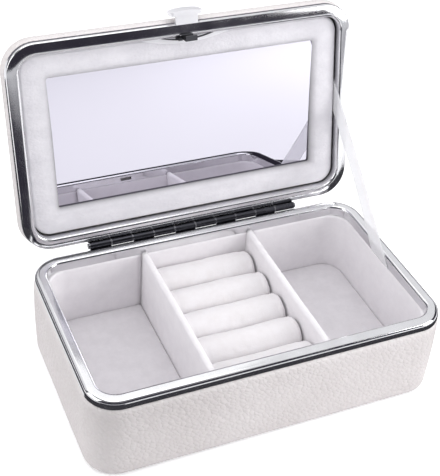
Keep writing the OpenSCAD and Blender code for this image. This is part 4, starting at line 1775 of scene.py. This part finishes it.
@dataclass
class Studio:
    """Camera, floor, lamps and surroundings. None of it belongs to the object."""

    eye: tuple[float, float, float] = (-0.17158, -0.33252, 0.36155)
    heading_deg: float = 25.84
    pitch_deg: float = 37.56
    roll_deg: float = 4.59
    lens_mm: float = 80.22
    sensor_mm: float = 36.0
    nearest: float = 0.01
    floor_half: float = 3.0
    floor_glow: float = 0.3
    air: tuple[float, float, float, float] = (0.97, 0.975, 1.0, 1)
    air_strength: float = 0.77
    band_radius: float = 1.2
    band_piece_deg: float = 30.0
    band_centre_z: float = 0.04
    band_foot_z: float = 0.003
    shade_x: tuple[float, float] = (-0.22, -0.06)
    shade_y: float = -0.13
    shade_z: tuple[float, float] = (0.02, 0.11)

    def camera(self) -> None:
        """Aims the camera: heading from +Y towards +X, pitch down, then roll."""
        angles = (self.heading_deg, self.pitch_deg, self.roll_deg)
        heading, pitch, roll = (math.radians(angle) for angle in angles)
        forward = Vector((
            math.sin(heading) * math.cos(pitch),
            math.cos(heading) * math.cos(pitch),
            -math.sin(pitch),
        ))
        level = Vector((math.cos(heading), -math.sin(heading), 0))
        rise = level.cross(forward)
        right = level * math.cos(roll) + rise * math.sin(roll)
        up = right.cross(forward)
        data = bpy.data.cameras.new("camera")
        data.lens = self.lens_mm
        data.sensor_width = self.sensor_mm
        data.clip_start = self.nearest
        camera = bpy.data.objects.new("camera", data)
        bpy.context.scene.collection.objects.link(camera)
        turn = Matrix((right, up, -forward)).transposed().to_4x4()
        camera.matrix_world = Matrix.Translation(Vector(self.eye)) @ turn
        bpy.context.scene.camera = camera

    def floor(self) -> None:
        """Pale floor, which the eye sees as plain white with soft shadows."""
        ends = np.array([-self.floor_half, self.floor_half])
        floor = Mesh.from_grid("floor", grid_of(ends[None], ends[:, None], np.zeros((2, 2))), False, False)
        material = bpy.data.materials.new("floor")
        w = fresh_wiring(material)
        paper = w.add("ShaderNodeBsdfDiffuse", {"Color": (0.93, 0.93, 0.94, 1)})
        glow = w.add("ShaderNodeEmission", {"Color": (1, 1, 1, 1), "Strength": self.floor_glow})
        lift = w.add("ShaderNodeAddShader", {0: paper.outputs[0], 1: glow.outputs[0]})
        both = w.add("ShaderNodeMixShader", {0: self._seen(w), 1: paper.outputs[0], 2: lift.outputs[0]})
        w.add("ShaderNodeOutputMaterial", {"Surface": both.outputs[0]})
        floor.data.materials.append(material)

    def world(self) -> None:
        """Even pale surroundings, plain white where the eye sees past the floor."""
        world = bpy.data.worlds.new("studio")
        bpy.context.scene.world = world
        w = fresh_wiring(world)
        air = w.add("ShaderNodeBackground", {"Color": self.air, "Strength": self.air_strength})
        beyond = w.add("ShaderNodeBackground", {"Color": (1, 1, 1, 1), "Strength": 1.0})
        both = w.add("ShaderNodeMixShader", {0: self._seen(w), 1: air.outputs[0], 2: beyond.outputs[0]})
        w.add("ShaderNodeOutputWorld", {"Surface": both.outputs[0]})

    @staticmethod
    def _seen(w: Wiring) -> bpy.types.NodeSocket:
        """One for rays from the eye and rays that glass lets through, nought for all others."""
        path = w.add("ShaderNodeLightPath")
        return w.math("MAXIMUM", path.outputs["Is Camera Ray"], path.outputs["Is Transmission Ray"])

    def lamp(self, plan: Lamp) -> None:
        """Hangs a lamp and turns it to its target.

        Args:
            plan: what the lamp is.
        """
        data = bpy.data.lights.new(plan.name, "AREA")
        data.shape = "RECTANGLE"
        data.size = data.size_y = plan.size
        data.energy = plan.power
        lamp = bpy.data.objects.new(plan.name, data)
        bpy.context.scene.collection.objects.link(lamp)
        lamp.location = plan.place
        way = Vector(plan.target) - Vector(plan.place)
        lamp.rotation_euler = way.to_track_quat("-Z", "Y").to_euler()

    def card(self, name: str, corners: list[tuple[float, float, float]], glow: Colour) -> bpy.types.Object:
        """Card that only shows in reflections, as metal is lit and flagged in a studio.

        Args:
            name: the card's name.
            corners: its four corners.
            glow: the colour it sends out, near black for a flag.

        Returns:
            The card.
        """
        mesh = bpy.data.meshes.new(name)
        mesh.from_pydata(corners, [], [(0, 1, 2, 3)])
        card = bpy.data.objects.new(name, mesh)
        bpy.context.scene.collection.objects.link(card)
        material = bpy.data.materials.new(name)
        w = fresh_wiring(material)
        light = w.add("ShaderNodeEmission", {"Color": (*glow, 1), "Strength": 1.0})
        w.add("ShaderNodeOutputMaterial", {"Surface": light.outputs[0]})
        card.data.materials.append(material)
        card.visible_camera = card.visible_transmission = False
        card.visible_diffuse = card.visible_shadow = False
        return card

    def band(self, plan: Band) -> None:
        """Stands a bent card up, from flat pieces with the same span.

        Args:
            plan: what the card is.
        """
        first, last = plan.azimuths
        steps = max(int(abs(last - first) / self.band_piece_deg), 1)
        turns = np.radians(np.linspace(first, last, steps + 1))
        rises = (self.band_radius * math.tan(math.radians(level)) for level in plan.levels)
        z0, z1 = (max(rise + self.band_centre_z, self.band_foot_z) for rise in rises)
        for k in range(steps):
            x0, y0 = self.band_radius * math.cos(turns[k]), self.band_radius * math.sin(turns[k])
            x1, y1 = self.band_radius * math.cos(turns[k + 1]), self.band_radius * math.sin(turns[k + 1])
            corners = [(x0, y0, z0), (x1, y1, z0), (x1, y1, z1), (x0, y0, z1)]
            self.card(f"{plan.name}_{k}", corners, plan.glow)

    def shade(self) -> None:
        """Black flag, unseen itself, that keeps some light off the left end of the front."""
        (x0, x1), y, (z0, z1) = self.shade_x, self.shade_y, self.shade_z
        flag = self.card("shade", [(x0, y, z0), (x1, y, z0), (x1, y, z1), (x0, y, z1)], (0, 0, 0))
        flag.visible_glossy = False
        flag.visible_diffuse = flag.visible_shadow = True

    def build(self) -> None:
        """Sets the whole studio."""
        self.camera()
        self.floor()
        self.world()
        for lamp in LAMPS:
            self.lamp(lamp)
        for band in BANDS:
            self.band(band)
        for flat in FLATS:
            self.card(flat.name, [(x, y, flat.level) for x, y in flat.outline], flat.glow)
        self.shade()


def main() -> None:
    """Builds the studio and every sub-assembly, in order."""
    logging.basicConfig(level=logging.INFO, format="%(message)s")
    bpy.context.scene.view_settings.view_transform = "Standard"
    base = (LeatherShells(), Lining(), RingRolls())
    lid = (LidFrame(), LidPad(), Ribbon(), LeafSpring())
    for part in (Studio(), MetalWork(), *base, *lid):
        part.build()
        LOG.info("%s is done", type(part).__name__)


if __name__ == "__main__":
    main()
